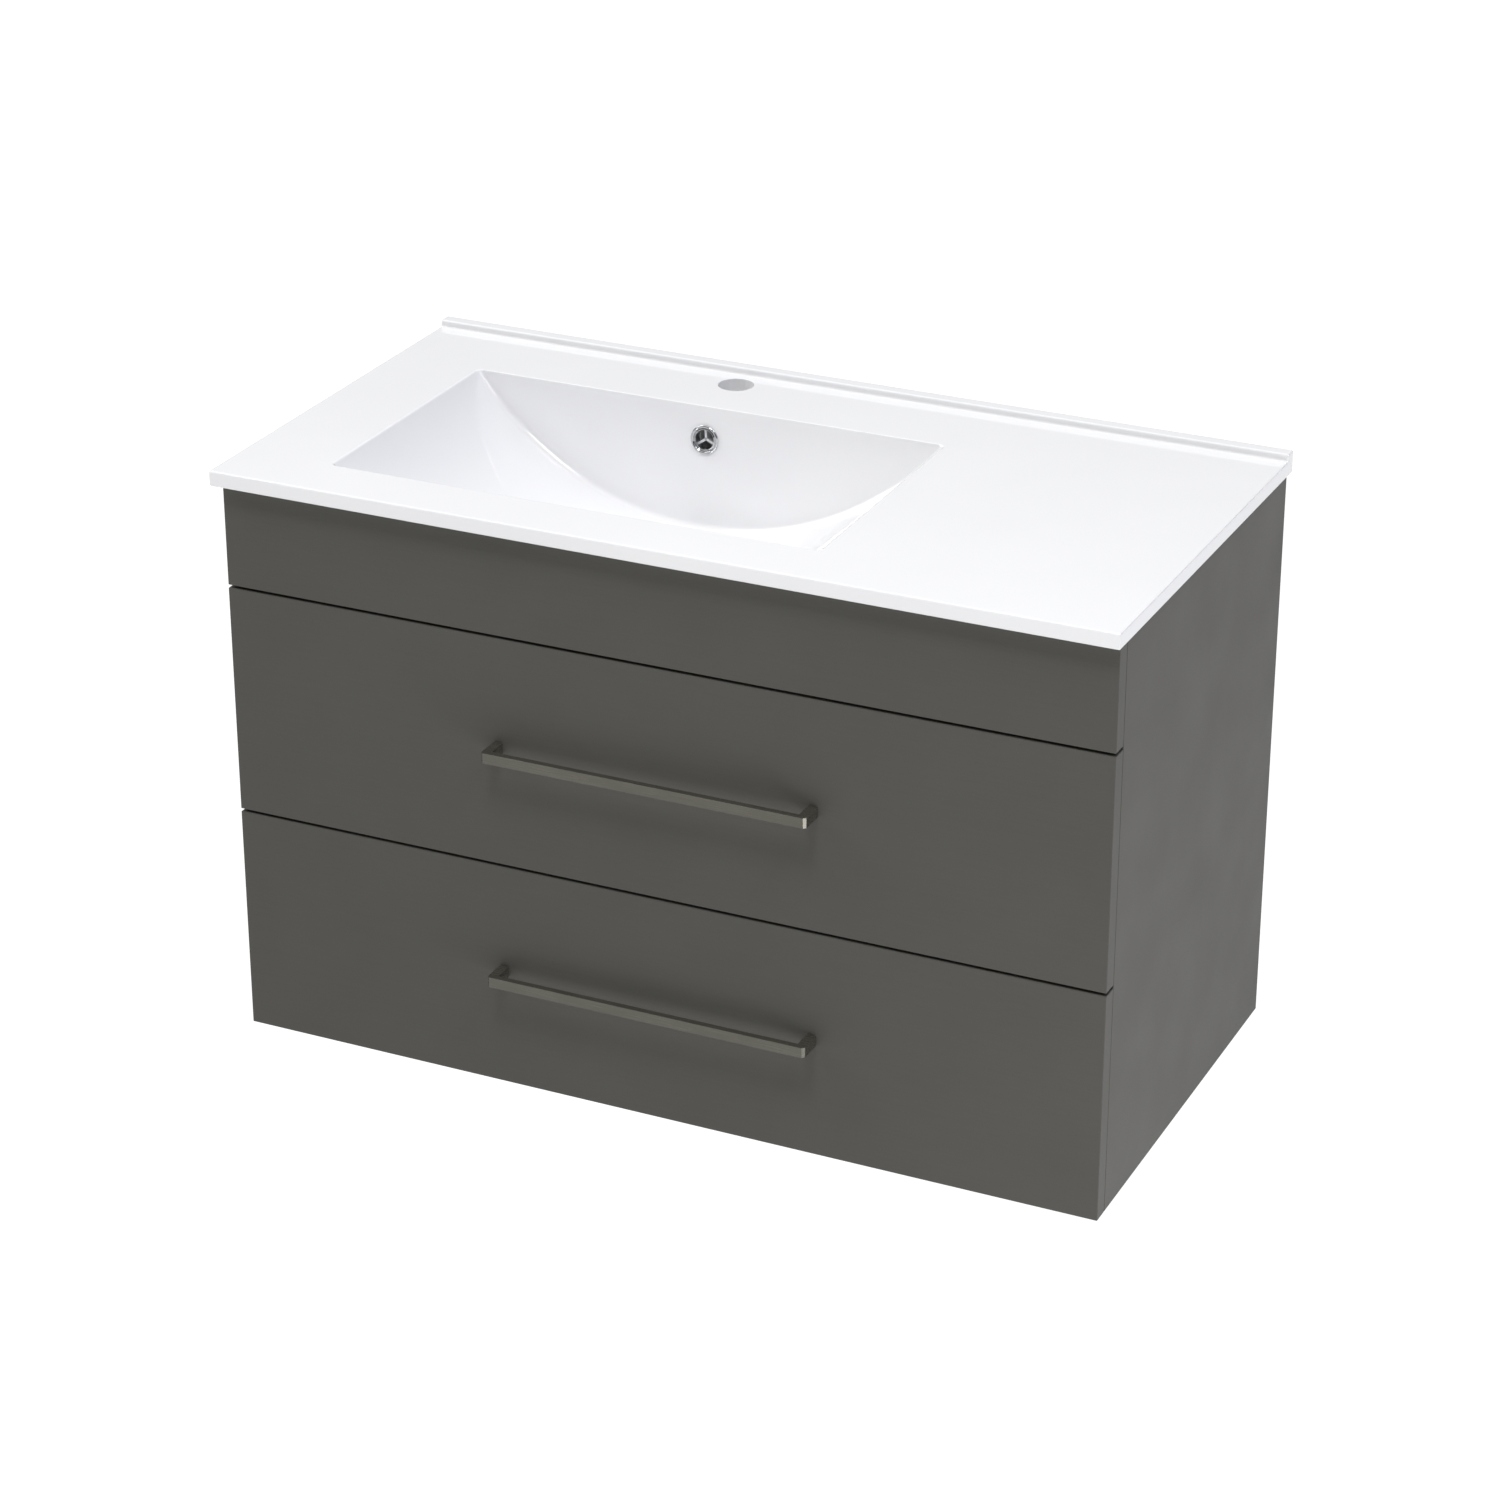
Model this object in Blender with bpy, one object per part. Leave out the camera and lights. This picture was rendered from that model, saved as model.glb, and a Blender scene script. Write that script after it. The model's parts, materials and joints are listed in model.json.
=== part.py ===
"""A wall-hung bathroom vanity: a two-drawer cabinet under a moulded top with an offset bowl.

Metres, +Z up, +Y towards the wall, +X to the right of someone who faces the drawers. The origin
is on the wall plane, at the middle of the upper wall rail's back face, which carries the unit.
"""

import math

import bmesh
import bpy
from mathutils import Matrix, Vector

# Driving dimensions -----------------------------------------------------------------------

GAP = 0.0003  # left between pieces that touch
CLEAR = 0.01  # how far a cutter runs past the face that it opens

TOP_WIDTH = 0.900
TOP_DEPTH = 0.460
TOP_THICKNESS = 0.015
SIDE_OVERHANG = 0.005
FRONT_OVERHANG = 0.015
TOP_EDGE_RADIUS = 0.002

UPSTAND_HEIGHT = 0.007
UPSTAND_THICKNESS = 0.014
COVE_RADIUS = 0.006

CABINET_HEIGHT = 0.572  # up to the underside of the moulded top
BOARD = 0.016  # carcass boards
FRONT_BOARD = 0.018  # drawer fronts and fascia
BOARD_EDGE = 0.0007  # rounding of a banded edge
DRAWER_FRONT_HEIGHT = 0.231
FRONT_JOINT = 0.003  # shadow line between fronts
WALL_RAIL_HEIGHT = 0.100
LOWER_RAIL_HEIGHT = 0.080

BOWL_CENTRE_X = -0.106
BOWL_WIDTH = 0.499
BOWL_LENGTH = 0.288  # front rim to back rim
BOWL_DEPTH = 0.1215
FRONT_DECK = 0.0625  # front edge of the top to the bowl's front rim
BOWL_DRAFT = 0.1  # lean of the front and back walls, per unit of depth
BOWL_FILLET = 0.010
BOWL_WALL = 0.009
OUTER_FILLET = 0.012  # of the bowl's shell, under its floor

TAP_HOLE_DIAMETER = 0.035
TAP_HOLE_FROM_WALL = 0.042

OVERFLOW_DEPTH = 0.033  # centre of the overflow, below the deck
OVERFLOW_HOLE_RADIUS = 0.011
OVERFLOW_FLANGE_RADIUS = 0.0146
DUCT_HALF_WIDTH = 0.009
DUCT_BORE = 0.010
DUCT_WALL = 0.005

WASTE_FROM_WALL = 0.177
WASTE_RECESS_RADIUS = 0.0335
WASTE_RECESS_DEPTH = 0.0025
WASTE_HOLE_RADIUS = 0.022
WASTE_TUBE_RADIUS = 0.0208
WASTE_BORE_RADIUS = 0.0175
WASTE_FLANGE_RADIUS = 0.032
WASTE_TAIL = 0.075  # below the seat in the bowl
BOSS_RADIUS = 0.036
BOSS_HEIGHT = 0.023

DRAWER_BOARD = 0.012
DRAWER_BOX_DEPTH = 0.400
DRAWER_BOX_HEIGHT = 0.130
DRAWER_BOX_LIFT = 0.018  # box bottom above the lower edge of its front
RECESS_HALF_WIDTH = 0.100  # drawer cut-out round the waste pipe
RECESS_REACH = 0.250  # how far the cut-out comes forward of the wall

RUNNER_SPACE = 0.0133  # side panel to drawer side
RUNNER_STEEL = 0.0012
RUNNER_HEIGHT = 0.045
RUNNER_BALL = 0.0028  # play between one runner member and the next, where the balls run
RUNNER_MOUTH = 0.0098  # where the fixed and middle members' lips end, from the side panel
MIDDLE_WEB = 0.0032  # outside of the middle member's web, from the side panel
MOVING_LIPS = 0.0058  # where the drawer member's lips end, from the side panel
RUNNER_ABOVE_BOX_BOTTOM = 0.045
RUNNER_LENGTH = 0.400
DAMPER_LENGTH = 0.058
DAMPER_FACES = (0.0018, 0.0104)  # from the side panel
DAMPER_PLAY = 0.0012  # above and below the damper
DAMPER_SPACE = 0.070  # the middle member stops short of the damper
DRAWER_STOP = 0.004  # the drawer member and the damper stop short of the fixed member's end

HANDLE_CENTRES = 0.320
HANDLE_POST = 0.0095
HANDLE_BAR = 0.007
HANDLE_HEIGHT = 0.0105
HANDLE_PROJECTION = 0.0275
HANDLE_CHAMFER = 0.0028
HANDLE_ABOVE_MIDDLE = 0.0055
HANDLE_HOLE_DEPTH = 0.018
HANDLE_EDGE = 0.0003

SCREW_RADIUS = 0.002
SCREW_LENGTH = 0.045
SCREW_HEAD_RADIUS = 0.004
SCREW_HEAD_HEIGHT = 0.0024
SCREW_HOLE_RADIUS = 0.0024
FASCIA_SCREW_LENGTH = 0.028
FASCIA_SCREW_X = 0.395

ROUND_STEPS = 40  # sides of a turned piece
BOWL_STEPS = 30  # stations along the bowl's arc

# Worked out from the driving dimensions ----------------------------------------------------

CABINET_WIDTH = TOP_WIDTH - 2 * SIDE_OVERHANG
CABINET_DEPTH = TOP_DEPTH - FRONT_OVERHANG
CARCASS_TOP = WALL_RAIL_HEIGHT / 2
TOP_UNDERSIDE = CARCASS_TOP + GAP
DECK = TOP_UNDERSIDE + TOP_THICKNESS
BOTTOM = TOP_UNDERSIDE - CABINET_HEIGHT
FRONT_FACE = -CABINET_DEPTH
CARCASS_FRONT = FRONT_FACE + FRONT_BOARD + GAP
INNER_HALF_WIDTH = CABINET_WIDTH / 2 - BOARD

BOWL_FRONT = -TOP_DEPTH + FRONT_DECK
BOWL_BACK = BOWL_FRONT + BOWL_LENGTH
BOWL_RADIUS = ((BOWL_WIDTH / 2) ** 2 + BOWL_DEPTH**2) / (2 * BOWL_DEPTH)
BOWL_AXIS_Z = DECK - BOWL_DEPTH + BOWL_RADIUS
WASTE_SEAT = DECK - BOWL_DEPTH - WASTE_RECESS_DEPTH
BOSS_BOTTOM = WASTE_SEAT - BOSS_HEIGHT
OVERFLOW_Z = DECK - OVERFLOW_DEPTH
OVERFLOW_Y = BOWL_BACK - BOWL_DRAFT * OVERFLOW_DEPTH
DUCT_BOTTOM = BOSS_BOTTOM + DUCT_WALL + GAP
DUCT_FRONT = BOWL_BACK + BOWL_WALL + GAP

DRAWER_HALF_WIDTH = INNER_HALF_WIDTH - RUNNER_SPACE
DRAWER_INNER_HALF = DRAWER_HALF_WIDTH - DRAWER_BOARD - GAP
DRAWER_BACK = CARCASS_FRONT + DRAWER_BOX_DEPTH
BOX_FRONT_INSIDE = CARCASS_FRONT + DRAWER_BOARD
RUNNER_BACK = CARCASS_FRONT + RUNNER_LENGTH
HANDLE_LENGTH = HANDLE_CENTRES + HANDLE_POST


# Scene and materials -----------------------------------------------------------------------


def clear_scene():
    for obj in list(bpy.data.objects):
        bpy.data.objects.remove(obj)


def material(name, colour, roughness, metallic=0.0):
    made = bpy.data.materials.new(name)
    made.use_nodes = True
    shader = made.node_tree.nodes["Principled BSDF"]
    shader.inputs["Base Color"].default_value = (*colour, 1.0)
    shader.inputs["Roughness"].default_value = roughness
    shader.inputs["Metallic"].default_value = metallic
    return made


clear_scene()

CHARCOAL = material("charcoal_front", (0.100, 0.098, 0.086), 0.45)
WHITE_BOARD = material("white_board", (0.80, 0.80, 0.79), 0.5)
GLAZE = material("white_glaze", (0.90, 0.90, 0.91), 0.08)
CHROME = material("chrome", (0.86, 0.86, 0.86), 0.06, 1.0)
HANDLE_METAL = material("brushed_pewter", (0.20, 0.19, 0.16), 0.34, 1.0)
ZINC_STEEL = material("zinc_steel", (0.55, 0.56, 0.58), 0.35, 1.0)
GREY_PLASTIC = material("grey_plastic", (0.22, 0.23, 0.24), 0.5)
WHITE_PLASTIC = material("white_plastic", (0.82, 0.82, 0.81), 0.4)
RUBBER = material("black_rubber", (0.03, 0.03, 0.03), 0.8)


# Shapes ------------------------------------------------------------------------------------


def empty(name, location):
    made = bpy.data.objects.new(name, None)
    made.location = location
    bpy.context.scene.collection.objects.link(made)
    return made


def object_from(name, shape, finish, location=(0, 0, 0), parent=None):
    """The bmesh as a named object. location is in the world, also for a child of an empty."""
    bmesh.ops.recalc_face_normals(shape, faces=shape.faces)
    mesh = bpy.data.meshes.new(name)
    shape.to_mesh(mesh)
    shape.free()
    mesh.shade_smooth()
    mesh.set_sharp_from_angle(angle=math.radians(35))
    made = bpy.data.objects.new(name, mesh)
    bpy.context.scene.collection.objects.link(made)
    if finish:
        mesh.materials.append(finish)
    made.location = Vector(location)
    if parent:
        made.parent = parent
        made.location -= parent.location
    return made


def as_helper(obj):
    """Marks an object that only shapes another one."""
    obj.hide_render = True
    obj.display_type = "WIRE"
    return obj


def shaped_by(obj, operation, *helpers):
    for helper in helpers:
        as_helper(helper)
        change = obj.modifiers.new(f"{operation.lower()}_{helper.name}", "BOOLEAN")
        change.operation = operation
        change.object = helper
    return obj


def box_shape(size):
    shape = bmesh.new()
    bmesh.ops.create_cube(shape, size=1.0)
    bmesh.ops.scale(shape, vec=size, verts=shape.verts)
    return shape


def block(name, low, high, finish=None, parent=None):
    """A plain box between two world corners, with its origin at its middle."""
    low, high = Vector(low), Vector(high)
    return object_from(name, box_shape(high - low), finish, (low + high) / 2, parent)


def board(name, low, high, finish, parent=None):
    """A board whose edges are slightly rounded, as edge banding leaves them."""
    made = block(name, low, high, finish, parent)
    rounding = made.modifiers.new("edge", "BEVEL")
    rounding.width = BOARD_EDGE
    rounding.segments = 2
    return made


def prism(name, outline, along, start, end, finish=None, location=(0, 0, 0), parent=None):
    """The outline, a loop of points in the other two axes, drawn out along an axis."""
    shape = bmesh.new()
    others = [axis for axis in range(3) if axis != along]
    loop = []
    for point in outline:
        corner = [0.0, 0.0, 0.0]
        corner[along] = start
        corner[others[0]], corner[others[1]] = point
        loop.append(shape.verts.new(corner))
    face = shape.faces.new(loop)
    drawn = bmesh.ops.extrude_face_region(shape, geom=[face])["geom"]
    moved = [item for item in drawn if isinstance(item, bmesh.types.BMVert)]
    shift = Vector((0, 0, 0))
    shift[along] = end - start
    bmesh.ops.translate(shape, vec=shift, verts=moved)
    return object_from(name, shape, finish, location, parent)


def rod(name, radius, bottom, top, location, finish=None, parent=None, sides=ROUND_STEPS):
    """A closed cylinder on Z, from bottom to top above its location."""
    shape = bmesh.new()
    lift = Matrix.Translation((0, 0, (bottom + top) / 2))
    bmesh.ops.create_cone(
        shape, cap_ends=True, segments=sides, radius1=radius, radius2=radius, depth=top - bottom, matrix=lift
    )
    return object_from(name, shape, finish, location, parent)


def turned(name, profile, finish, location=(0, 0, 0), parent=None):
    """A closed profile of (radius, height) points spun round Z."""
    shape = bmesh.new()
    points = [shape.verts.new((radius, 0, height)) for radius, height in profile]
    edges = [shape.edges.new(pair) for pair in zip(points, points[1:] + points[:1])]
    bmesh.ops.spin(
        shape,
        geom=points + edges,
        cent=(0, 0, 0),
        axis=(0, 0, 1),
        angle=2 * math.pi,
        steps=ROUND_STEPS,
        use_merge=True,
    )
    bmesh.ops.remove_doubles(shape, verts=shape.verts, dist=1e-6)
    flat = [face for face in shape.faces if face.calc_area() < 1e-14]
    bmesh.ops.delete(shape, geom=flat, context="FACES")
    bmesh.ops.delete(shape, geom=[e for e in shape.edges if not e.link_faces], context="EDGES")
    return object_from(name, shape, finish, location, parent)


def arc(centre, radius, start, end, steps):
    """Points on a circle between two angles in degrees, both ends included."""
    points = []
    for step in range(steps + 1):
        angle = math.radians(start + (end - start) * step / steps)
        points.append((centre[0] + radius * math.cos(angle), centre[1] + radius * math.sin(angle)))
    return points


# The moulded top ---------------------------------------------------------------------------


def slab():
    """The flat top with its upstand: a section across the depth, drawn out to the width."""
    edge = TOP_EDGE_RADIUS
    front = -TOP_DEPTH
    upstand_front = -UPSTAND_THICKNESS
    upstand_top = DECK + UPSTAND_HEIGHT
    outline = [(0.0, TOP_UNDERSIDE)]
    outline += arc((-edge / 2, upstand_top - edge / 2), edge / 2, 0, 90, 3)
    outline += arc((upstand_front + edge / 2, upstand_top - edge / 2), edge / 2, 90, 180, 3)
    outline += arc((upstand_front - COVE_RADIUS, DECK + COVE_RADIUS), COVE_RADIUS, 0, -90, 5)
    outline += arc((front + edge, DECK - edge), edge, 90, 180, 3)
    outline += arc((front + edge / 2, TOP_UNDERSIDE + edge / 2), edge / 2, 180, 270, 2)
    return prism("basin_top", outline, 0, -TOP_WIDTH / 2, TOP_WIDTH / 2, GLAZE)


def bowl_form(name, grow, top, fillet):
    """The bowl's form: a round trough along the depth, closed by two leaning walls.

    grow moves every wall outwards, and top is where the form is cut off level.
    """
    radius = BOWL_RADIUS + grow
    reach = math.degrees(math.acos((BOWL_AXIS_Z - top) / radius))
    curve = arc((BOWL_CENTRE_X, BOWL_AXIS_Z), radius, 270 - reach, 270 + reach, BOWL_STEPS)
    shape = bmesh.new()
    walls = []
    for rim, lean in ((BOWL_FRONT - grow, BOWL_DRAFT), (BOWL_BACK + grow, -BOWL_DRAFT)):
        walls.append([shape.verts.new((x, rim + lean * (DECK - z), z)) for x, z in curve])
    shape.faces.new(walls[0])
    shape.faces.new(reversed(walls[1]))
    for step in range(-1, BOWL_STEPS):
        shape.faces.new((walls[0][step + 1], walls[0][step], walls[1][step], walls[1][step + 1]))
    corners = [shape.edges.get(pair) for wall in walls for pair in zip(wall, wall[1:])]
    bmesh.ops.bevel(
        shape,
        geom=corners,
        offset=fillet,
        offset_type="WIDTH",
        segments=4,
        profile=0.5,
        affect="EDGES",
        clamp_overlap=False,
    )
    return object_from(name, shape, None)


def leaned(obj):
    """Turns a piece made on Z so that its top faces out of the bowl's leaning back wall."""
    obj.rotation_euler = (math.pi / 2 - math.atan(BOWL_DRAFT), 0, 0)
    return obj


def waste_boss(grow=0.0):
    place = (BOWL_CENTRE_X, -WASTE_FROM_WALL, 0)
    return rod("waste_boss", BOSS_RADIUS + grow, BOSS_BOTTOM - grow, WASTE_SEAT - DUCT_WALL, place)


def basin_top():
    waste = (BOWL_CENTRE_X, -WASTE_FROM_WALL, 0)
    tap = (BOWL_CENTRE_X, -TAP_HOLE_FROM_WALL, 0)
    overflow = (BOWL_CENTRE_X, OVERFLOW_Y, OVERFLOW_Z)
    top = slab()
    outside = bowl_form("bowl_outside", BOWL_WALL, TOP_UNDERSIDE + TOP_THICKNESS / 2, OUTER_FILLET)
    shaped_by(top, "UNION", outside, waste_boss())
    shaped_by(
        top,
        "DIFFERENCE",
        bowl_form("bowl_inside", 0.0, DECK + 0.004, BOWL_FILLET),
        rod("tap_hole", TAP_HOLE_DIAMETER / 2, TOP_UNDERSIDE - CLEAR, DECK + CLEAR, tap),
        rod("waste_recess", WASTE_RECESS_RADIUS, WASTE_SEAT, DECK - BOWL_DEPTH / 2, waste),
        rod("waste_hole", WASTE_HOLE_RADIUS, BOSS_BOTTOM - CLEAR, WASTE_SEAT + CLEAR, waste),
        leaned(rod("overflow_hole", OVERFLOW_HOLE_RADIUS, -BOWL_WALL - CLEAR / 2, CLEAR, overflow)),
        block(
            "boss_inlet",
            (BOWL_CENTRE_X - DUCT_HALF_WIDTH, waste[1], DUCT_BOTTOM),
            (BOWL_CENTRE_X + DUCT_HALF_WIDTH, waste[1] + BOSS_RADIUS + 0.002, DUCT_BOTTOM + DUCT_BORE),
        ),
    )
    return top


def overflow_duct():
    """A trough bonded behind and under the bowl, which leads the overflow to the waste."""
    left = BOWL_CENTRE_X - DUCT_HALF_WIDTH
    right = BOWL_CENTRE_X + DUCT_HALF_WIDTH
    front = BOWL_BACK - BOWL_DRAFT * BOWL_DEPTH - OUTER_FILLET
    back = DUCT_FRONT + DUCT_BORE
    run_start = -WASTE_FROM_WALL
    run_top = WASTE_SEAT  # inside the bowl's floor, which is cut away below
    top = TOP_UNDERSIDE - GAP
    duct = block(
        "overflow_duct",
        (left - DUCT_WALL, front, DUCT_BOTTOM - DUCT_WALL),
        (right + DUCT_WALL, back + DUCT_WALL, top),
        WHITE_PLASTIC,
    )
    run = block(
        "duct_run",
        (left - DUCT_WALL, run_start, DUCT_BOTTOM - DUCT_WALL + GAP),
        (right + DUCT_WALL, back, run_top),
    )
    shaped_by(duct, "UNION", run)
    shaped_by(
        duct,
        "DIFFERENCE",
        block("duct_inside", (left, front - CLEAR, DUCT_BOTTOM), (right, back, top - DUCT_WALL)),
        block(
            "duct_run_inside",
            (left, run_start - CLEAR, DUCT_BOTTOM),
            (right, back - GAP, run_top + CLEAR),
        ),
        bowl_form("bowl_clearance", BOWL_WALL + GAP, TOP_UNDERSIDE + CLEAR, OUTER_FILLET),
        waste_boss(GAP),
    )
    return duct


def overflow_ring():
    """The overflow's chrome ring: a rounded flange, a short tube and a three-bladed grid."""
    flange = OVERFLOW_FLANGE_RADIUS
    tube = OVERFLOW_HOLE_RADIUS - GAP
    bore = tube - 0.0012
    face = 0.0024
    length = BOWL_WALL - 0.0005
    profile = [(bore, -length), (tube, -length), (tube, GAP), (flange, GAP)]
    profile += arc((flange - 0.0012, GAP + 0.0009), 0.0012, 0, 80, 3)
    profile += [(bore + 0.0016, face), (bore, face - 0.0012)]
    place = (BOWL_CENTRE_X, OVERFLOW_Y, OVERFLOW_Z)
    ring = leaned(turned("overflow_ring", profile, CHROME, place))
    for number in range(3):
        blade = box_shape((tube, 0.002, 0.004))
        bmesh.ops.translate(blade, vec=((tube - 0.0006) / 2, 0, -0.0042), verts=blade.verts)
        turn = Matrix.Rotation(math.radians(95 + 120 * number), 3, "Z")
        bmesh.ops.rotate(blade, cent=(0, 0, 0), matrix=turn, verts=blade.verts)
        shaped_by(ring, "UNION", leaned(object_from(f"overflow_blade_{number}", blade, None, place)))
    return ring


# The waste ---------------------------------------------------------------------------------

WASTE_PLACE = (BOWL_CENTRE_X, -WASTE_FROM_WALL, WASTE_SEAT)
SEAL_THICKNESS = 0.0015
FLANGE_THICKNESS = 0.002
FLANGE_BOTTOM = SEAL_THICKNESS + 2 * GAP
FLANGE_TOP = FLANGE_BOTTOM + FLANGE_THICKNESS
SEAT_CONE = 0.0055  # width and depth of the cone in the flange that takes the plug's seal
NUT_SEAL_THICKNESS = 0.005
NUT_HEIGHT = 0.009
HUB_HEIGHTS = (-0.046, -0.034)  # of the guide for the plug's stem, from the seat
STEM_RADIUS = 0.004


def waste_body():
    """Flange, threaded tube with overflow slots, and the guide that holds the plug's stem."""
    bore = WASTE_BORE_RADIUS
    profile = [
        (WASTE_TUBE_RADIUS, -WASTE_TAIL),
        (WASTE_TUBE_RADIUS, FLANGE_BOTTOM),
        (WASTE_FLANGE_RADIUS, FLANGE_BOTTOM),
        (WASTE_FLANGE_RADIUS, FLANGE_TOP - 0.0008),
        (WASTE_FLANGE_RADIUS - 0.0012, FLANGE_TOP),
        (bore + SEAT_CONE, FLANGE_TOP),
        (bore, FLANGE_TOP - SEAT_CONE),
        (bore, -WASTE_TAIL),
    ]
    body = turned("waste_body", profile, CHROME, WASTE_PLACE)
    low, high = HUB_HEIGHTS
    hub = rod("waste_hub", 2 * STEM_RADIUS, low, high, WASTE_PLACE)
    shaped_by(body, "UNION", hub)
    for number in range(3):
        arm = box_shape((bore + 0.001, 0.003, high - low - 0.003))
        bmesh.ops.translate(arm, vec=((bore + 0.001) / 2, 0, (low + high) / 2), verts=arm.verts)
        turn = Matrix.Rotation(math.radians(30 + 120 * number), 3, "Z")
        bmesh.ops.rotate(arm, cent=(0, 0, 0), matrix=turn, verts=arm.verts)
        shaped_by(body, "UNION", object_from(f"waste_arm_{number}", arm, None, WASTE_PLACE))
    slot_low = DUCT_BOTTOM + 0.001
    slot_high = slot_low + DUCT_BORE - 0.002
    slots = block(
        "waste_slots",
        (BOWL_CENTRE_X - 0.006, -WASTE_FROM_WALL - 0.03, slot_low),
        (BOWL_CENTRE_X + 0.006, -WASTE_FROM_WALL + 0.03, slot_high),
    )
    stem_hole = rod("stem_hole", STEM_RADIUS + GAP, low - CLEAR, high + CLEAR, WASTE_PLACE)
    return shaped_by(body, "DIFFERENCE", slots, stem_hole)


def waste_seals_and_nut():
    inner = WASTE_TUBE_RADIUS + GAP
    outer = WASTE_FLANGE_RADIUS - 0.001
    flat_seal = [(inner, GAP), (outer, GAP), (outer, GAP + SEAL_THICKNESS), (inner, GAP + SEAL_THICKNESS)]
    turned("waste_upper_seal", flat_seal, RUBBER, WASTE_PLACE)
    top = -BOSS_HEIGHT - GAP
    low = top - NUT_SEAL_THICKNESS
    cone_seal = [(inner, low), (outer, low), (outer, low + 0.002), (outer - 0.004, top), (inner, top)]
    turned("waste_lower_seal", cone_seal, RUBBER, WASTE_PLACE)
    nut_top = low - GAP
    nut = rod("waste_backnut", outer, nut_top - NUT_HEIGHT, nut_top, WASTE_PLACE, WHITE_PLASTIC, sides=6)
    bore = rod("backnut_bore", inner, nut_top - NUT_HEIGHT - CLEAR, nut_top + CLEAR, WASTE_PLACE)
    shaped_by(nut, "DIFFERENCE", bore)


def waste_plug():
    """The click plug that rises and sinks in the waste: a domed cap, a stem and its seal."""
    slide = empty("waste_plug_slide", WASTE_PLACE)
    cap_bottom = FLANGE_TOP + 0.0008
    cap_top = cap_bottom + 0.0036
    cap_radius = WASTE_FLANGE_RADIUS - 0.0006
    collar = 0.006
    profile = [(0.0, HUB_HEIGHTS[0] - 0.006), (STEM_RADIUS, HUB_HEIGHTS[0] - 0.006)]
    profile += [(STEM_RADIUS, FLANGE_TOP - 0.004), (collar, FLANGE_TOP - 0.004), (collar, cap_bottom)]
    profile += [(cap_radius - 0.001, cap_bottom)]
    profile += arc((cap_radius - 0.0016, cap_bottom + 0.0016), 0.0016, -20, 75, 4)
    profile += [(cap_radius * 0.6, cap_top - 0.0003), (0.0, cap_top)]
    turned("waste_plug_cap", profile, CHROME, WASTE_PLACE, slide)
    seal_top = cap_bottom - GAP
    seal_low = seal_top - 0.0028
    seal_radius = WASTE_BORE_RADIUS + SEAT_CONE - (FLANGE_TOP - seal_low) - 2 * GAP
    seal_bore = collar + GAP
    seal = [(seal_bore, seal_low), (seal_radius, seal_low), (seal_radius, seal_top), (seal_bore, seal_top)]
    turned("waste_plug_seal", seal, RUBBER, WASTE_PLACE, slide)


# The carcass -------------------------------------------------------------------------------

FASCIA_BOTTOM = BOTTOM + 2 * (DRAWER_FRONT_HEIGHT + FRONT_JOINT)
RAIL_HALF_LENGTH = INNER_HALF_WIDTH - GAP


def carcass():
    for side, sign in (("left", -1), ("right", 1)):
        near, far = sorted((sign * INNER_HALF_WIDTH, sign * CABINET_WIDTH / 2))
        board(f"side_panel_{side}", (near, CARCASS_FRONT, BOTTOM), (far, 0, CARCASS_TOP), CHARCOAL)
    reach = RAIL_HALF_LENGTH
    board("bottom_panel", (-reach, CARCASS_FRONT, BOTTOM), (reach, 0, BOTTOM + BOARD), WHITE_BOARD)
    board("wall_rail_upper", (-reach, -BOARD, -CARCASS_TOP), (reach, 0, CARCASS_TOP), WHITE_BOARD)
    low = BOTTOM + BOARD + GAP
    board("wall_rail_lower", (-reach, -BOARD, low), (reach, 0, low + LOWER_RAIL_HEIGHT), WHITE_BOARD)
    front_rail = board(
        "front_rail",
        (-reach, CARCASS_FRONT, FASCIA_BOTTOM + GAP),
        (reach, CARCASS_FRONT + BOARD, CARCASS_TOP),
        WHITE_BOARD,
    )
    fascia = board(
        "fascia_panel",
        (-CABINET_WIDTH / 2, FRONT_FACE, FASCIA_BOTTOM),
        (CABINET_WIDTH / 2, FRONT_FACE + FRONT_BOARD, CARCASS_TOP),
        CHARCOAL,
    )
    height = (FASCIA_BOTTOM + CARCASS_TOP) / 2
    head = CARCASS_FRONT + BOARD + GAP
    for side, sign in (("left", -1), ("right", 1)):
        place = (sign * FASCIA_SCREW_X, head, height)
        screw(f"fascia_screw_{side}", FASCIA_SCREW_LENGTH, place)
        hole = drilled(f"fascia_hole_{side}", place, head - FASCIA_SCREW_LENGTH - 0.001, head + CLEAR)
        shaped_by(front_rail, "DIFFERENCE", hole)
        shaped_by(fascia, "DIFFERENCE", hole)


def drilled(name, place, start, end):
    """A cutter for a screw hole that runs along Y between two depths."""
    hole = rod(name, SCREW_HOLE_RADIUS, start - place[1], end - place[1], place, sides=16)
    hole.rotation_euler = (-math.pi / 2, 0, 0)
    return hole


def screw(name, length, place, parent=None):
    """A pan-head screw that points to -Y, with the underside of its head at place."""
    head = SCREW_HEAD_RADIUS
    profile = [(0.0, -length), (SCREW_RADIUS * 0.6, -length), (SCREW_RADIUS, -length + 0.002)]
    profile += [(SCREW_RADIUS, 0.0), (head, 0.0), (head, SCREW_HEAD_HEIGHT * 0.5)]
    profile += [(head * 0.8, SCREW_HEAD_HEIGHT * 0.9), (head * 0.4, SCREW_HEAD_HEIGHT)]
    profile += [(0.0, SCREW_HEAD_HEIGHT)]
    made = turned(name, profile, ZINC_STEEL, place, parent)
    made.rotation_euler = (-math.pi / 2, 0, 0)
    return made


# Runners -----------------------------------------------------------------------------------


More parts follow.
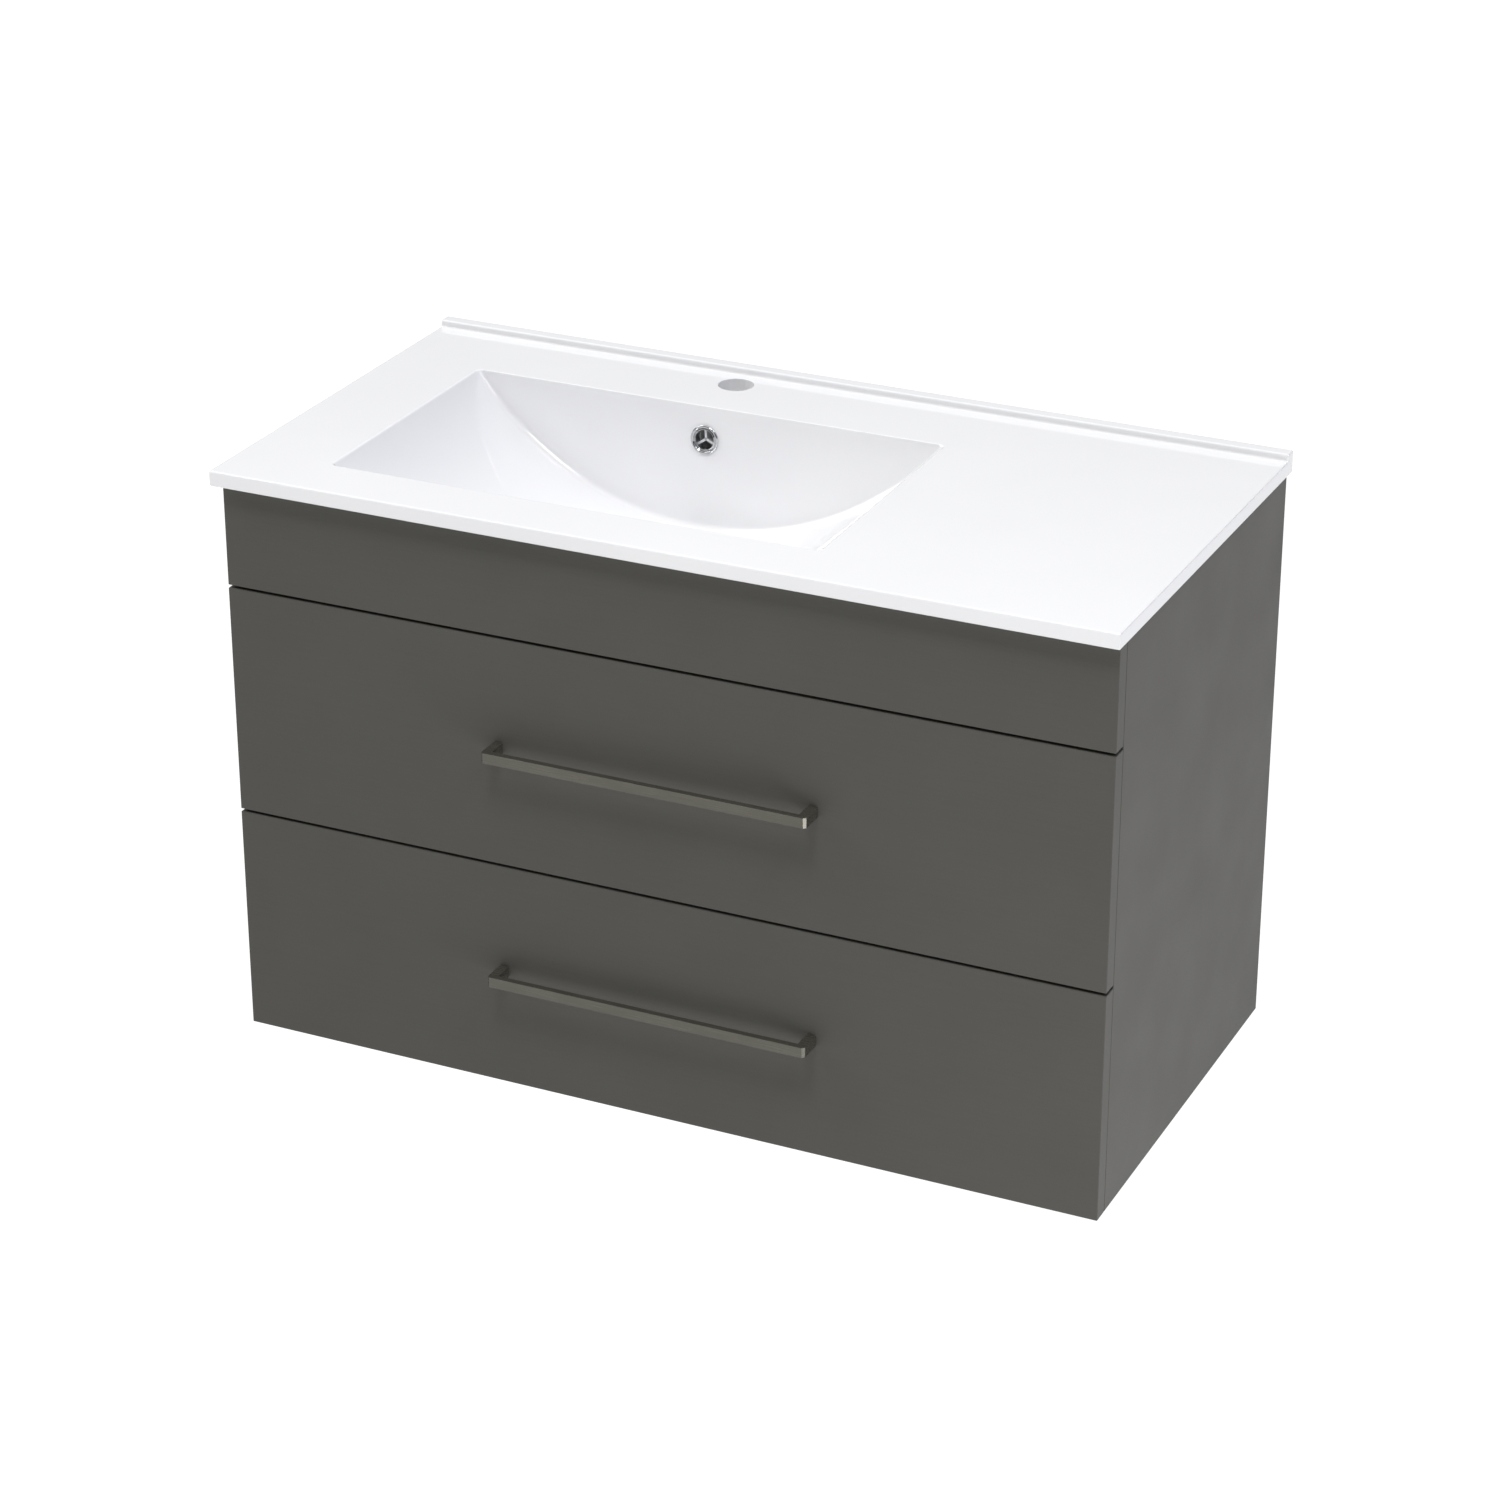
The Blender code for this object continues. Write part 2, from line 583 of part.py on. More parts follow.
def channel_outline(sign, web, lip_end, half_height):
    """A C-section. web and lip_end are distances from the side panel on the side given by sign."""
    lip_face = half_height - RUNNER_STEEL
    web_face = web + math.copysign(RUNNER_STEEL, lip_end - web)
    corners = [
        (web, -half_height),
        (lip_end, -half_height),
        (lip_end, -lip_face),
        (web_face, -lip_face),
        (web_face, lip_face),
        (lip_end, lip_face),
        (lip_end, half_height),
        (web, half_height),
    ]
    return [(sign * (INNER_HALF_WIDTH - depth), height) for depth, height in corners]


def runner_pair(drawer, height, drawer_slide):
    """Both runners of a drawer: fixed, middle and drawer members, and a soft-close damper."""
    middle_slide = empty(f"{drawer}_middle_slide", (0, CARCASS_FRONT, height))
    half = RUNNER_HEIGHT / 2
    step = RUNNER_STEEL + RUNNER_BALL
    middle_back = RUNNER_BACK - DAMPER_SPACE
    moving_back = RUNNER_BACK - DRAWER_STOP
    drawer_web = RUNNER_SPACE - GAP
    for side, sign in (("left", -1), ("right", 1)):
        place = (0, 0, height)
        fixed = channel_outline(sign, GAP, RUNNER_MOUTH, half)
        name = f"{drawer}_runner_fixed_{side}"
        prism(name, fixed, 1, CARCASS_FRONT, RUNNER_BACK, ZINC_STEEL, place)
        middle = channel_outline(sign, MIDDLE_WEB, RUNNER_MOUTH, half - step)
        name = f"{drawer}_runner_middle_{side}"
        prism(name, middle, 1, CARCASS_FRONT, middle_back, ZINC_STEEL, place, middle_slide)
        moving = channel_outline(sign, drawer_web, MOVING_LIPS, half - 2 * step)
        name = f"{drawer}_runner_moving_{side}"
        prism(name, moving, 1, CARCASS_FRONT, moving_back, ZINC_STEEL, place, drawer_slide)
        damper_half = half - 2 * step - RUNNER_STEEL - DAMPER_PLAY
        near, far = sorted(sign * (INNER_HALF_WIDTH - depth) for depth in DAMPER_FACES)
        board(
            f"{drawer}_damper_{side}",
            (near, moving_back - DAMPER_LENGTH, height - damper_half),
            (far, moving_back, height + damper_half),
            GREY_PLASTIC,
        )


# Drawers -----------------------------------------------------------------------------------


def handle(name, height, parent):
    """A D handle of flat bar: two posts and a grip, with its outer corners chamfered."""
    outer = HANDLE_LENGTH / 2
    inner = outer - HANDLE_POST
    root = FRONT_FACE - GAP
    front = FRONT_FACE - HANDLE_PROJECTION
    grip_back = front + HANDLE_BAR
    cut = HANDLE_CHAMFER
    outline = [(outer, root), (inner, root), (inner, grip_back), (-inner, grip_back)]
    outline += [(-inner, root), (-outer, root), (-outer, front + cut), (-outer + cut, front)]
    outline += [(outer - cut, front), (outer, front + cut)]
    half = HANDLE_HEIGHT / 2
    made = prism(name, outline, 2, -half, half, HANDLE_METAL, (0, 0, height), parent)
    softened = made.modifiers.new("edge", "BEVEL")
    softened.width = HANDLE_EDGE
    softened.segments = 1
    return made


def drawer_front(drawer, bottom, slide):
    """The front with its handle, and the long screws that pass through front and box."""
    top = bottom + DRAWER_FRONT_HEIGHT
    half = CABINET_WIDTH / 2
    back = FRONT_FACE + FRONT_BOARD
    front = board(f"{drawer}_front", (-half, FRONT_FACE, bottom), (half, back, top), CHARCOAL, slide)
    box_bottom = bottom + DRAWER_BOX_LIFT
    inner_front = board(
        f"{drawer}_box_front",
        (-DRAWER_INNER_HALF, CARCASS_FRONT, box_bottom),
        (DRAWER_INNER_HALF, BOX_FRONT_INSIDE, box_bottom + DRAWER_BOX_HEIGHT),
        WHITE_BOARD,
        slide,
    )
    height = (bottom + top) / 2 + HANDLE_ABOVE_MIDDLE
    grip = handle(f"{drawer}_handle", height, slide)
    head = BOX_FRONT_INSIDE + GAP
    for side, sign in (("left", -1), ("right", 1)):
        place = (sign * HANDLE_CENTRES / 2, head, height)
        screw(f"{drawer}_handle_screw_{side}", SCREW_LENGTH, place, slide)
        deepest = FRONT_FACE - HANDLE_HOLE_DEPTH
        hole = drilled(f"{drawer}_handle_hole_{side}", place, deepest, head + CLEAR)
        for piece in (front, inner_front, grip):
            shaped_by(piece, "DIFFERENCE", hole)


def drawer_sides(drawer, low, slide):
    top = low + DRAWER_BOX_HEIGHT
    for side, sign in (("left", -1), ("right", 1)):
        near, far = sorted((sign * DRAWER_HALF_WIDTH, sign * (DRAWER_HALF_WIDTH - DRAWER_BOARD)))
        name = f"{drawer}_side_{side}"
        board(name, (near, CARCASS_FRONT, low), (far, DRAWER_BACK, top), WHITE_BOARD, slide)


def back_board(name, left, right, low, slide):
    """A board that stands on the drawer's bottom at its back."""
    stands_on = low + DRAWER_BOARD + GAP
    start = DRAWER_BACK - DRAWER_BOARD
    board(name, (left, start, stands_on), (right, DRAWER_BACK, low + DRAWER_BOX_HEIGHT), WHITE_BOARD, slide)


def upper_drawer(bottom, slide):
    """The upper drawer's box, cut out in a U so that it passes the waste pipe."""
    low = bottom + DRAWER_BOX_LIFT
    top = low + DRAWER_BOX_HEIGHT
    stands_on = low + DRAWER_BOARD + GAP
    inside = DRAWER_INNER_HALF
    recess_left = BOWL_CENTRE_X - RECESS_HALF_WIDTH
    recess_right = BOWL_CENTRE_X + RECESS_HALF_WIDTH
    drawer_sides("upper_drawer", low, slide)
    base = [
        (-inside, BOX_FRONT_INSIDE + GAP),
        (inside, BOX_FRONT_INSIDE + GAP),
        (inside, DRAWER_BACK),
        (recess_right, DRAWER_BACK),
        (recess_right, -RECESS_REACH),
        (recess_left, -RECESS_REACH),
        (recess_left, DRAWER_BACK),
        (-inside, DRAWER_BACK),
    ]
    prism("upper_drawer_bottom", base, 2, low, low + DRAWER_BOARD, WHITE_BOARD, parent=slide)
    back_board("upper_drawer_back_left", -inside, recess_left - DRAWER_BOARD - GAP, low, slide)
    back_board("upper_drawer_back_right", recess_right + DRAWER_BOARD + GAP, inside, low, slide)
    for side, near, far in (
        ("left", recess_left - DRAWER_BOARD, recess_left),
        ("right", recess_right, recess_right + DRAWER_BOARD),
    ):
        name = f"upper_drawer_recess_{side}"
        board(name, (near, -RECESS_REACH, stands_on), (far, DRAWER_BACK, top), WHITE_BOARD, slide)
    board(
        "upper_drawer_recess_front",
        (recess_left - DRAWER_BOARD, -RECESS_REACH - GAP - DRAWER_BOARD, stands_on),
        (recess_right + DRAWER_BOARD, -RECESS_REACH - GAP, top),
        WHITE_BOARD,
        slide,
    )


def lower_drawer(bottom, slide):
    low = bottom + DRAWER_BOX_LIFT
    inside = DRAWER_INNER_HALF
    drawer_sides("lower_drawer", low, slide)
    board(
        "lower_drawer_bottom",
        (-inside, BOX_FRONT_INSIDE + GAP, low),
        (inside, DRAWER_BACK, low + DRAWER_BOARD),
        WHITE_BOARD,
        slide,
    )
    back_board("lower_drawer_back", -inside, inside, low, slide)


def drawers():
    lower_bottom = BOTTOM
    upper_bottom = BOTTOM + DRAWER_FRONT_HEIGHT + FRONT_JOINT
    for drawer, bottom, box in (
        ("upper_drawer", upper_bottom, upper_drawer),
        ("lower_drawer", lower_bottom, lower_drawer),
    ):
        runner_height = bottom + DRAWER_BOX_LIFT + RUNNER_ABOVE_BOX_BOTTOM
        slide = empty(f"{drawer}_slide", (0, CARCASS_FRONT, runner_height))
        drawer_front(drawer, bottom, slide)
        box(bottom, slide)
        runner_pair(drawer, runner_height, slide)


carcass()
basin_top()
overflow_duct()
overflow_ring()
waste_body()
waste_seals_and_nut()
waste_plug()
drawers()
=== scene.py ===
"""The looks of a wall-hung bathroom vanity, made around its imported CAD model.

Metres, +Z up, +Y into the wall, +X to the right of someone who faces the drawers. CAD nodes whose
shape is right stay and get their materials here. The moulded top, its chrome fittings and the
screws are made again with finer surfaces.
"""

import json
import math

import bmesh
import bpy
import numpy as np
from mathutils import Matrix, Vector


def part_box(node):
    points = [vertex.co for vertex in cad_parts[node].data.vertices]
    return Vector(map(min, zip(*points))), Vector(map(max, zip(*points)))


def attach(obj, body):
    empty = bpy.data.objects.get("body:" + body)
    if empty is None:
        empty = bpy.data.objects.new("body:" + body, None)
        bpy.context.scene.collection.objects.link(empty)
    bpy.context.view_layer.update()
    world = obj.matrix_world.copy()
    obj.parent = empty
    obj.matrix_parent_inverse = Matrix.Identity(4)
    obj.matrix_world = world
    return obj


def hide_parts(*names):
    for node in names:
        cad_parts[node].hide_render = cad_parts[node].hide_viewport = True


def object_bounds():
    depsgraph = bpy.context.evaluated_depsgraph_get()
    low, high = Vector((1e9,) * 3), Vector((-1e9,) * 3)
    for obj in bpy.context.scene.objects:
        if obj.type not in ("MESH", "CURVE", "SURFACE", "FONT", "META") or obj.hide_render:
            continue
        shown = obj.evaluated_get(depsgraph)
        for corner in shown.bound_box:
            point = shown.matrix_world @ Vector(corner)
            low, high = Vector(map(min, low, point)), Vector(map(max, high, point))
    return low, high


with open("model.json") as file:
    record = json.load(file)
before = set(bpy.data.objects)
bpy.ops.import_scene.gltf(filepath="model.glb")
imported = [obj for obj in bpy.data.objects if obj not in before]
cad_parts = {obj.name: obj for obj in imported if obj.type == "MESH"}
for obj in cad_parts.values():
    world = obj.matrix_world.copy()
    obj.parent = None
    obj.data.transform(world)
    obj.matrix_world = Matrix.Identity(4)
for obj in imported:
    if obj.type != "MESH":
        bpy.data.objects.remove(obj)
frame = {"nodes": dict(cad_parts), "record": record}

cad_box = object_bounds()
mounts = {mount["name"]: Vector(mount["pos_m"]) for mount in frame["record"]["mounts"]}

# Driving dimensions of what is made again here -----------------------------------------------

DECK = mounts["tap_seat"].z
TOP_LOW, TOP_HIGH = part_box("basin_top")
TOP_THICKNESS = 0.015
TOP_EDGE_RADIUS = 0.002
SMALL_EDGE_RADIUS = 0.0014  # ends of the top, its lower edges and its back edge
UPSTAND_THICKNESS = 0.014
COVE_RADIUS = 0.0026
UPSTAND_EDGE_RADIUS = 0.0023  # of the edge that faces the room

BOWL_X = mounts["tap_seat"].x
BOWL_WIDTH = 0.499
BOWL_LENGTH = 0.288
BOWL_DEPTH = 0.1215
FRONT_DECK = 0.0625
BOWL_DRAFT = 0.1
BOWL_WALL = 0.009
BOWL_FILLET = 0.006
RIM_RADIUS = 0.0012
OUTER_FILLET = 0.012
UNDERSIDE_FILLET = 0.004

TAP_Y = -0.042
TAP_RADIUS = 0.0175
OVERFLOW_DEPTH = 0.033
OVERFLOW_RADIUS = 0.011
WASTE_Y = mounts["waste_tail_end"].y
WASTE_RECESS_RADIUS = 0.0335
WASTE_RECESS_DEPTH = 0.0025
WASTE_HOLE_RADIUS = 0.022
BOSS_RADIUS = 0.036
BOSS_HEIGHT = 0.023

# Worked out from them
UNDERSIDE = DECK - TOP_THICKNESS
BOWL_FRONT = TOP_LOW.y + FRONT_DECK
BOWL_BACK = BOWL_FRONT + BOWL_LENGTH
BOWL_RADIUS = ((BOWL_WIDTH / 2) ** 2 + BOWL_DEPTH**2) / (2 * BOWL_DEPTH)
BOWL_AXIS_Z = DECK - BOWL_DEPTH + BOWL_RADIUS
SLANT = 1 / math.hypot(1, BOWL_DRAFT)
WASTE_SEAT = DECK - BOWL_DEPTH - WASTE_RECESS_DEPTH
BOSS_BOTTOM = WASTE_SEAT - BOSS_HEIGHT
OVERFLOW_PLACE = Vector((BOWL_X, BOWL_BACK - BOWL_DRAFT * OVERFLOW_DEPTH, DECK - OVERFLOW_DEPTH))

BOARD_EDGE = 0.0002  # rounding of the boards' edges

SHARP_ANGLE = math.radians(38)  # edges that turn more than this are shaded as edges
HALVINGS = 44  # steps in the search for the height of the moulded surface
# Spacing of the lines of the moulded top's mesh
EDGE_STEP = 0.0005
RIM_STEP = 0.0004
BOWL_STEP = 0.006
FLAT_STEP = 0.012
UNDER_EDGE_STEP = 0.001
UNDER_STEP = 0.010
CELL = 0.003  # round the holes
TAP_CELLS = 7  # from a hole's centre to the edge of its patch
OVERFLOW_CELLS = 5
WASTE_CELLS = 15


# Materials -------------------------------------------------------------------------------------

FLOOR_GLOW = 0.89


class Look:
    """A material in the making. Sizes are in metres on the real object."""

    def __init__(self, name, **plain):
        self.material = bpy.data.materials.new(name)
        self.material.use_nodes = True
        self.tree = self.material.node_tree
        self.shader = self.tree.nodes["Principled BSDF"]
        self.place = self.node("TexCoord").outputs["Object"]
        for socket, value in plain.items():
            self.shader.inputs[socket.replace("_", " ")].default_value = value

    def node(self, kind, values=None, links=None, **settings):
        made = self.tree.nodes.new("ShaderNode" + kind)
        for name, value in settings.items():
            setattr(made, name, value)
        for name, value in (values or {}).items():
            made.inputs[name].default_value = value
        for name, source in (links or {}).items():
            self.tree.links.new(source, made.inputs[name])
        return made

    def noise(self, size, detail=3.0, stretch=(1, 1, 1), roughness=0.5):
        """Noise whose patches are about size across, and longer along an axis with a small stretch."""
        scaled = self.node("Mapping", {"Scale": [s / size for s in stretch]}, {"Vector": self.place})
        values = {"Scale": 1.0, "Detail": detail, "Roughness": roughness}
        return self.node("TexNoise", values, {"Vector": scaled.outputs[0]}).outputs["Fac"]

    def spread(self, value, low, high, start=0.3, end=0.7):
        """Carries a value that runs from start to end over to low to high."""
        values = {"From Min": start, "From Max": end, "To Min": low, "To Max": high}
        return self.node("MapRange", values, {"Value": value}).outputs["Result"]

    def sum(self, first, second, share=1.0):
        """first plus a share of second."""
        made = self.node("Math", {1: share}, {0: second, 2: first}, operation="MULTIPLY_ADD")
        return made.outputs[0]

    def scaled(self, value, share):
        return self.node("Math", {1: share}, {0: value}, operation="MULTIPLY").outputs[0]

    def blend(self, share, first, second):
        """A colour from first to second as share goes from 0 to 1. Each is a colour or a socket."""
        made = self.node("Mix", data_type="RGBA")
        self.tree.links.new(share, made.inputs[0])
        for place, source in ((6, first), (7, second)):
            if isinstance(source, tuple):
                made.inputs[place].default_value = (*source, 1.0)
            else:
                self.tree.links.new(source, made.inputs[place])
        return made.outputs[2]

    def edges(self, width):
        """1 on edges, falling to 0 about width away from them."""
        rounded = self.node("Bevel", {"Radius": width}, samples=6).outputs["Normal"]
        flat = self.node("NewGeometry").outputs["Normal"]
        agree = self.node("VectorMath", links={0: rounded, 1: flat}, operation="DOT_PRODUCT")
        return self.spread(agree.outputs["Value"], 1.0, 0.0, 0.72, 0.97)

    def bumps(self, height, depth, normal=None):
        links = {"Height": height}
        if normal:
            links["Normal"] = normal
        return self.node("Bump", {"Strength": 1.0, "Distance": depth}, links).outputs["Normal"]

    def set(self, socket, source):
        self.tree.links.new(source, self.shader.inputs[socket])


def glaze():
    """White gel-coated cast mineral: glossy, very slightly wavy, with faint wiping marks."""
    look = Look("white_gelcoat", IOR=1.5, Coat_Weight=0.25, Coat_Roughness=0.02)
    clouds = look.spread(look.noise(0.14, 2.0), 0, 1)
    look.set("Base Color", look.blend(clouds, (0.872, 0.872, 0.884), (0.892, 0.892, 0.900)))
    wiped = look.spread(look.noise(0.03, 4.0, (1, 0.35, 1)), 0.012, 0.035)
    scuffs = look.spread(look.noise(0.0012, 2.0, (1, 0.04, 1)), 0.0, 0.03, 0.6, 0.8)
    look.set("Roughness", look.sum(wiped, scuffs))
    waves = look.noise(0.045, 1.0)
    peel = look.noise(0.0016, 2.0)
    look.set("Normal", look.bumps(peel, 0.000002, look.bumps(waves, 0.00007)))
    return look.material


def charcoal_board():
    """Satin charcoal facing with a fine linear grain along the width."""
    look = Look("charcoal_facing", IOR=1.5, Specular_IOR_Level=0.06)
    grain = look.noise(0.0011, 3.0, (0.03, 1, 1))
    clouds = look.noise(0.09, 3.0)
    tone = look.sum(look.spread(grain, 0.0, 0.45), look.spread(clouds, 0.0, 0.55))
    ground = look.blend(tone, (0.0950, 0.0926, 0.0835), (0.1025, 0.1000, 0.0905))
    worn = look.scaled(look.edges(0.0009), 0.45)
    look.set("Base Color", look.blend(worn, ground, (0.122, 0.118, 0.107)))
    look.set("Roughness", look.sum(look.spread(clouds, 0.36, 0.44), look.spread(grain, -0.03, 0.03)))
    pores = look.noise(0.0006, 2.0)
    look.set("Normal", look.bumps(pores, 0.000012, look.bumps(grain, 0.000010)))
    return look.material


def white_board():
    """White melamine facing with a fine orange peel."""
    look = Look("white_melamine", IOR=1.5)
    clouds = look.noise(0.11, 3.0)
    ground = look.blend(look.spread(clouds, 0, 1), (0.770, 0.768, 0.755), (0.815, 0.813, 0.803))
    worn = look.scaled(look.edges(0.0008), 0.4)
    look.set("Base Color", look.blend(worn, ground, (0.62, 0.60, 0.57)))
    look.set("Roughness", look.spread(look.noise(0.02, 4.0), 0.38, 0.50))
    look.set("Normal", look.bumps(look.noise(0.0011, 2.0), 0.000018))
    return look.material


def chrome():
    """Bright chrome plating with faint smears and plating waves."""
    look = Look("chrome_plate", Metallic=1.0)
    smears = look.noise(0.006, 4.0, (1, 0.4, 1))
    tone = look.spread(smears, 0, 1)
    look.set("Base Color", look.blend(tone, (0.52, 0.53, 0.54), (0.60, 0.605, 0.61)))
    look.set("Roughness", look.spread(smears, 0.02, 0.07))
    look.set("Normal", look.bumps(look.noise(0.004, 1.0), 0.000004))
    return look.material


def satin_chrome():
    """Chrome over a blasted surface, which scatters part of the light."""
    look = Look("satin_chrome", Metallic=0.4)
    clouds = look.noise(0.004, 3.0)
    tone = look.spread(clouds, 0, 1)
    look.set("Base Color", look.blend(tone, (0.68, 0.69, 0.70), (0.76, 0.765, 0.77)))
    look.set("Roughness", look.spread(clouds, 0.26, 0.34))
    look.set("Normal", look.bumps(look.noise(0.0004, 2.0), 0.000004))
    return look.material


def brushed_pewter():
    """Dark bronze-grey plate, brushed along the bar, a little brighter where the edges are rubbed."""
    look = Look("brushed_pewter", Metallic=0.55, Anisotropic=0.35)
    strokes = look.noise(0.00035, 4.0, (0.012, 1, 1))
    clouds = look.noise(0.018, 2.0, (0.5, 1, 1))
    tone = look.sum(look.spread(strokes, 0.0, 0.6), look.spread(clouds, 0.0, 0.4))
    ground = look.blend(tone, (0.096, 0.092, 0.076), (0.130, 0.125, 0.104))
    rubbed = look.scaled(look.edges(0.0005), 0.5)
    look.set("Base Color", look.blend(rubbed, ground, (0.19, 0.183, 0.155)))
    look.set("Roughness", look.sum(look.spread(clouds, 0.22, 0.28), look.spread(strokes, -0.04, 0.05)))
    look.set("Normal", look.bumps(strokes, 0.000010))
    return look.material


def zinc_steel():
    """Rolled steel with bright zinc: fine lines along the runners and soft spangles."""
    look = Look("zinc_plated_steel", Metallic=1.0)
    rolled = look.noise(0.0006, 3.0, (1, 0.02, 1))
    spangle = look.node("TexVoronoi", {"Scale": 260.0}, {"Vector": look.place}).outputs["Distance"]
    tone = look.sum(look.spread(rolled, 0.0, 0.6), look.spread(spangle, 0.0, 0.4, 0.1, 0.8))
    look.set("Base Color", look.blend(tone, (0.50, 0.51, 0.53), (0.66, 0.67, 0.69)))
    dulled = look.spread(spangle, 0.0, 0.06, 0.1, 0.8)
    look.set("Roughness", look.sum(look.spread(rolled, 0.26, 0.36), dulled))
    look.set("Normal", look.bumps(rolled, 0.000006))
    return look.material


def moulded(name, dark, light, roughness, grain):
    """Moulded plastic or rubber with a fine spark-eroded grain."""
    look = Look(name, IOR=1.46)
    clouds = look.noise(0.012, 3.0)
    worn = look.scaled(look.edges(0.0006), 0.4)
    ground = look.blend(look.spread(clouds, 0, 1), dark, light)
    bright = tuple(min(1, 1.35 * channel) for channel in light)
    look.set("Base Color", look.blend(worn, ground, bright))
    look.set("Roughness", look.spread(clouds, roughness - 0.05, roughness + 0.05))
    look.set("Normal", look.bumps(look.noise(grain, 2.0), grain * 0.04))
    return look.material


def floor_paint():
    """Pale paint that gives off light, as a lit studio sweep does, so that it comes out white."""
    look = Look("pale_floor", IOR=1.45, Emission_Color=(1, 1, 1, 1), Emission_Strength=FLOOR_GLOW)
    clouds = look.noise(0.8, 3.0)
    look.set("Base Color", look.blend(look.spread(clouds, 0, 1), (0.17, 0.17, 0.17), (0.20, 0.20, 0.20)))
    look.set("Roughness", look.spread(clouds, 0.75, 0.85))
    return look.material


GLAZE = glaze()
CHROME = chrome()
MATERIALS = {
    "glaze": GLAZE,
    "chrome": CHROME,
    "charcoal_board": charcoal_board(),
    "white_board": white_board(),
    "handle_metal": brushed_pewter(),
    "zinc_steel": zinc_steel(),
    "grey_plastic": moulded("grey_plastic", (0.19, 0.20, 0.21), (0.23, 0.24, 0.25), 0.5, 0.0007),
    "white_plastic": moulded("white_plastic", (0.78, 0.78, 0.77), (0.84, 0.84, 0.83), 0.4, 0.0008),
    "rubber": moulded("black_rubber", (0.022, 0.022, 0.022), (0.034, 0.034, 0.034), 0.75, 0.0005),
}


def eased(piece):
    """Eases a board's edges, as a router or an edge bander leaves them."""
    weld = piece.modifiers.new("joined_corners", "WELD")
    weld.merge_threshold = 0.000002
    bevel = piece.modifiers.new("eased_edges", "BEVEL")
    bevel.width = BOARD_EDGE
    bevel.segments = 2
    bevel.limit_method = "ANGLE"
    bevel.angle_limit = math.radians(50)


def dress_cad_nodes():
    for part in frame["record"]["subparts"]:
        piece = frame["nodes"][part["node"]]
        piece.data.materials.clear()
        piece.data.materials.append(MATERIALS[part["material_slot"]])
        if "board" in part["material_slot"]:
            eased(piece)


# Mesh tools ------------------------------------------------------------------------------------


def spaced(start, end, step):
    """Even steps of at most step, from start up to but not including end."""
    count = max(1, math.ceil(abs(end - start) / step - 1e-6))
    return [start + (end - start) * number / count for number in range(count)]


def chain(stops):
    """The lines through a list of (start, spacing) pairs whose last item is the end alone."""
    lines = []
    for (start, step), following in zip(stops[:-1], stops[1:]):
        end = following[0] if isinstance(following, tuple) else following
        lines += spaced(start, end, step)
    return lines + [stops[-1]]


def arc(centre, radius, start, end, steps):
    points = []
    for step in range(steps + 1):
        angle = math.radians(start + (end - start) * step / steps)
        points.append((centre[0] + radius * math.cos(angle), centre[1] + radius * math.sin(angle)))
    return points


def finished(name, shape, material, body, slot, *stands_for):
    """The bmesh as a piece of the object that rides on a body in place of CAD nodes."""
    bmesh.ops.recalc_face_normals(shape, faces=shape.faces)
    mesh = bpy.data.meshes.new(name)
    shape.to_mesh(mesh)
    shape.free()
    mesh.materials.append(material)
    mesh.shade_smooth()
    mesh.set_sharp_from_angle(angle=SHARP_ANGLE)
    piece = bpy.data.objects.new(name, mesh)
    bpy.context.scene.collection.objects.link(piece)
    even = piece.modifiers.new("even_shading", "WEIGHTED_NORMAL")
    even.keep_sharp = True
    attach(piece, body)
    if stands_for:
        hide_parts(*stands_for)
    return piece


def bridge(shape, loops):
    """Quads between each loop of corners and the next."""
    for near, far in zip(loops, loops[1:]):
        for here in range(len(near)):
            there = (here + 1) % len(near)
            shape.faces.new((near[here], near[there], far[there], far[here]))


# The moulded top -------------------------------------------------------------------------------


def rounded_max(first, second, radius):
    """The larger of two distances, with the crease between them rounded off."""
    corner = np.hypot(np.maximum(radius + first, 0), np.maximum(radius + second, 0))
    return np.minimum(-radius, np.maximum(first, second)) + corner


def bowl_distance(x, y, z, grow, fillet):
    """Distance to the bowl's form with its walls moved out by grow, negative inside it."""
    floor = np.hypot(x - BOWL_X, BOWL_AXIS_Z - z) - (BOWL_RADIUS + grow)
    inset = BOWL_DRAFT * (DECK - z)
    front = (BOWL_FRONT - grow + inset - y) * SLANT
    back = (y - BOWL_BACK - grow + inset) * SLANT
    return rounded_max(floor, np.maximum(front, back), fillet)


def settled(distance, low, high):
    """Heights where a distance that is negative at low and positive at high is zero."""
    for _ in range(HALVINGS):
        middle = (low + high) / 2
        outside = distance(middle) > 0
        high = np.where(outside, middle, high)
        low = np.where(outside, low, middle)
    return (low + high) / 2


def top_height(x, y):
    """Height of the upper surface: the deck with the bowl sunk into it."""
    x, y = np.broadcast_arrays(np.asarray(x, float), np.asarray(y, float))

    def distance(z):
        return rounded_max(z - DECK, -bowl_distance(x, y, z, 0, BOWL_FILLET), RIM_RADIUS)

    start = np.full(x.shape, DECK - BOWL_DEPTH - 0.01)
    return settled(distance, start, np.full(x.shape, DECK + 0.001))


def under_height(x, y):
    """Height of the lower surface: the slab's underside with the bowl's shell below it."""
    x, y = np.broadcast_arrays(np.asarray(x, float), np.asarray(y, float))

    def distance(drop):
        z = UNDERSIDE + 0.001 - drop
        shell = bowl_distance(x, y, z, BOWL_WALL, OUTER_FILLET)
        return -rounded_max(z - UNDERSIDE, -shell, UNDERSIDE_FILLET)

    start = np.zeros(x.shape)
    return UNDERSIDE + 0.001 - settled(distance, start, np.full(x.shape, BOWL_DEPTH + 0.03))


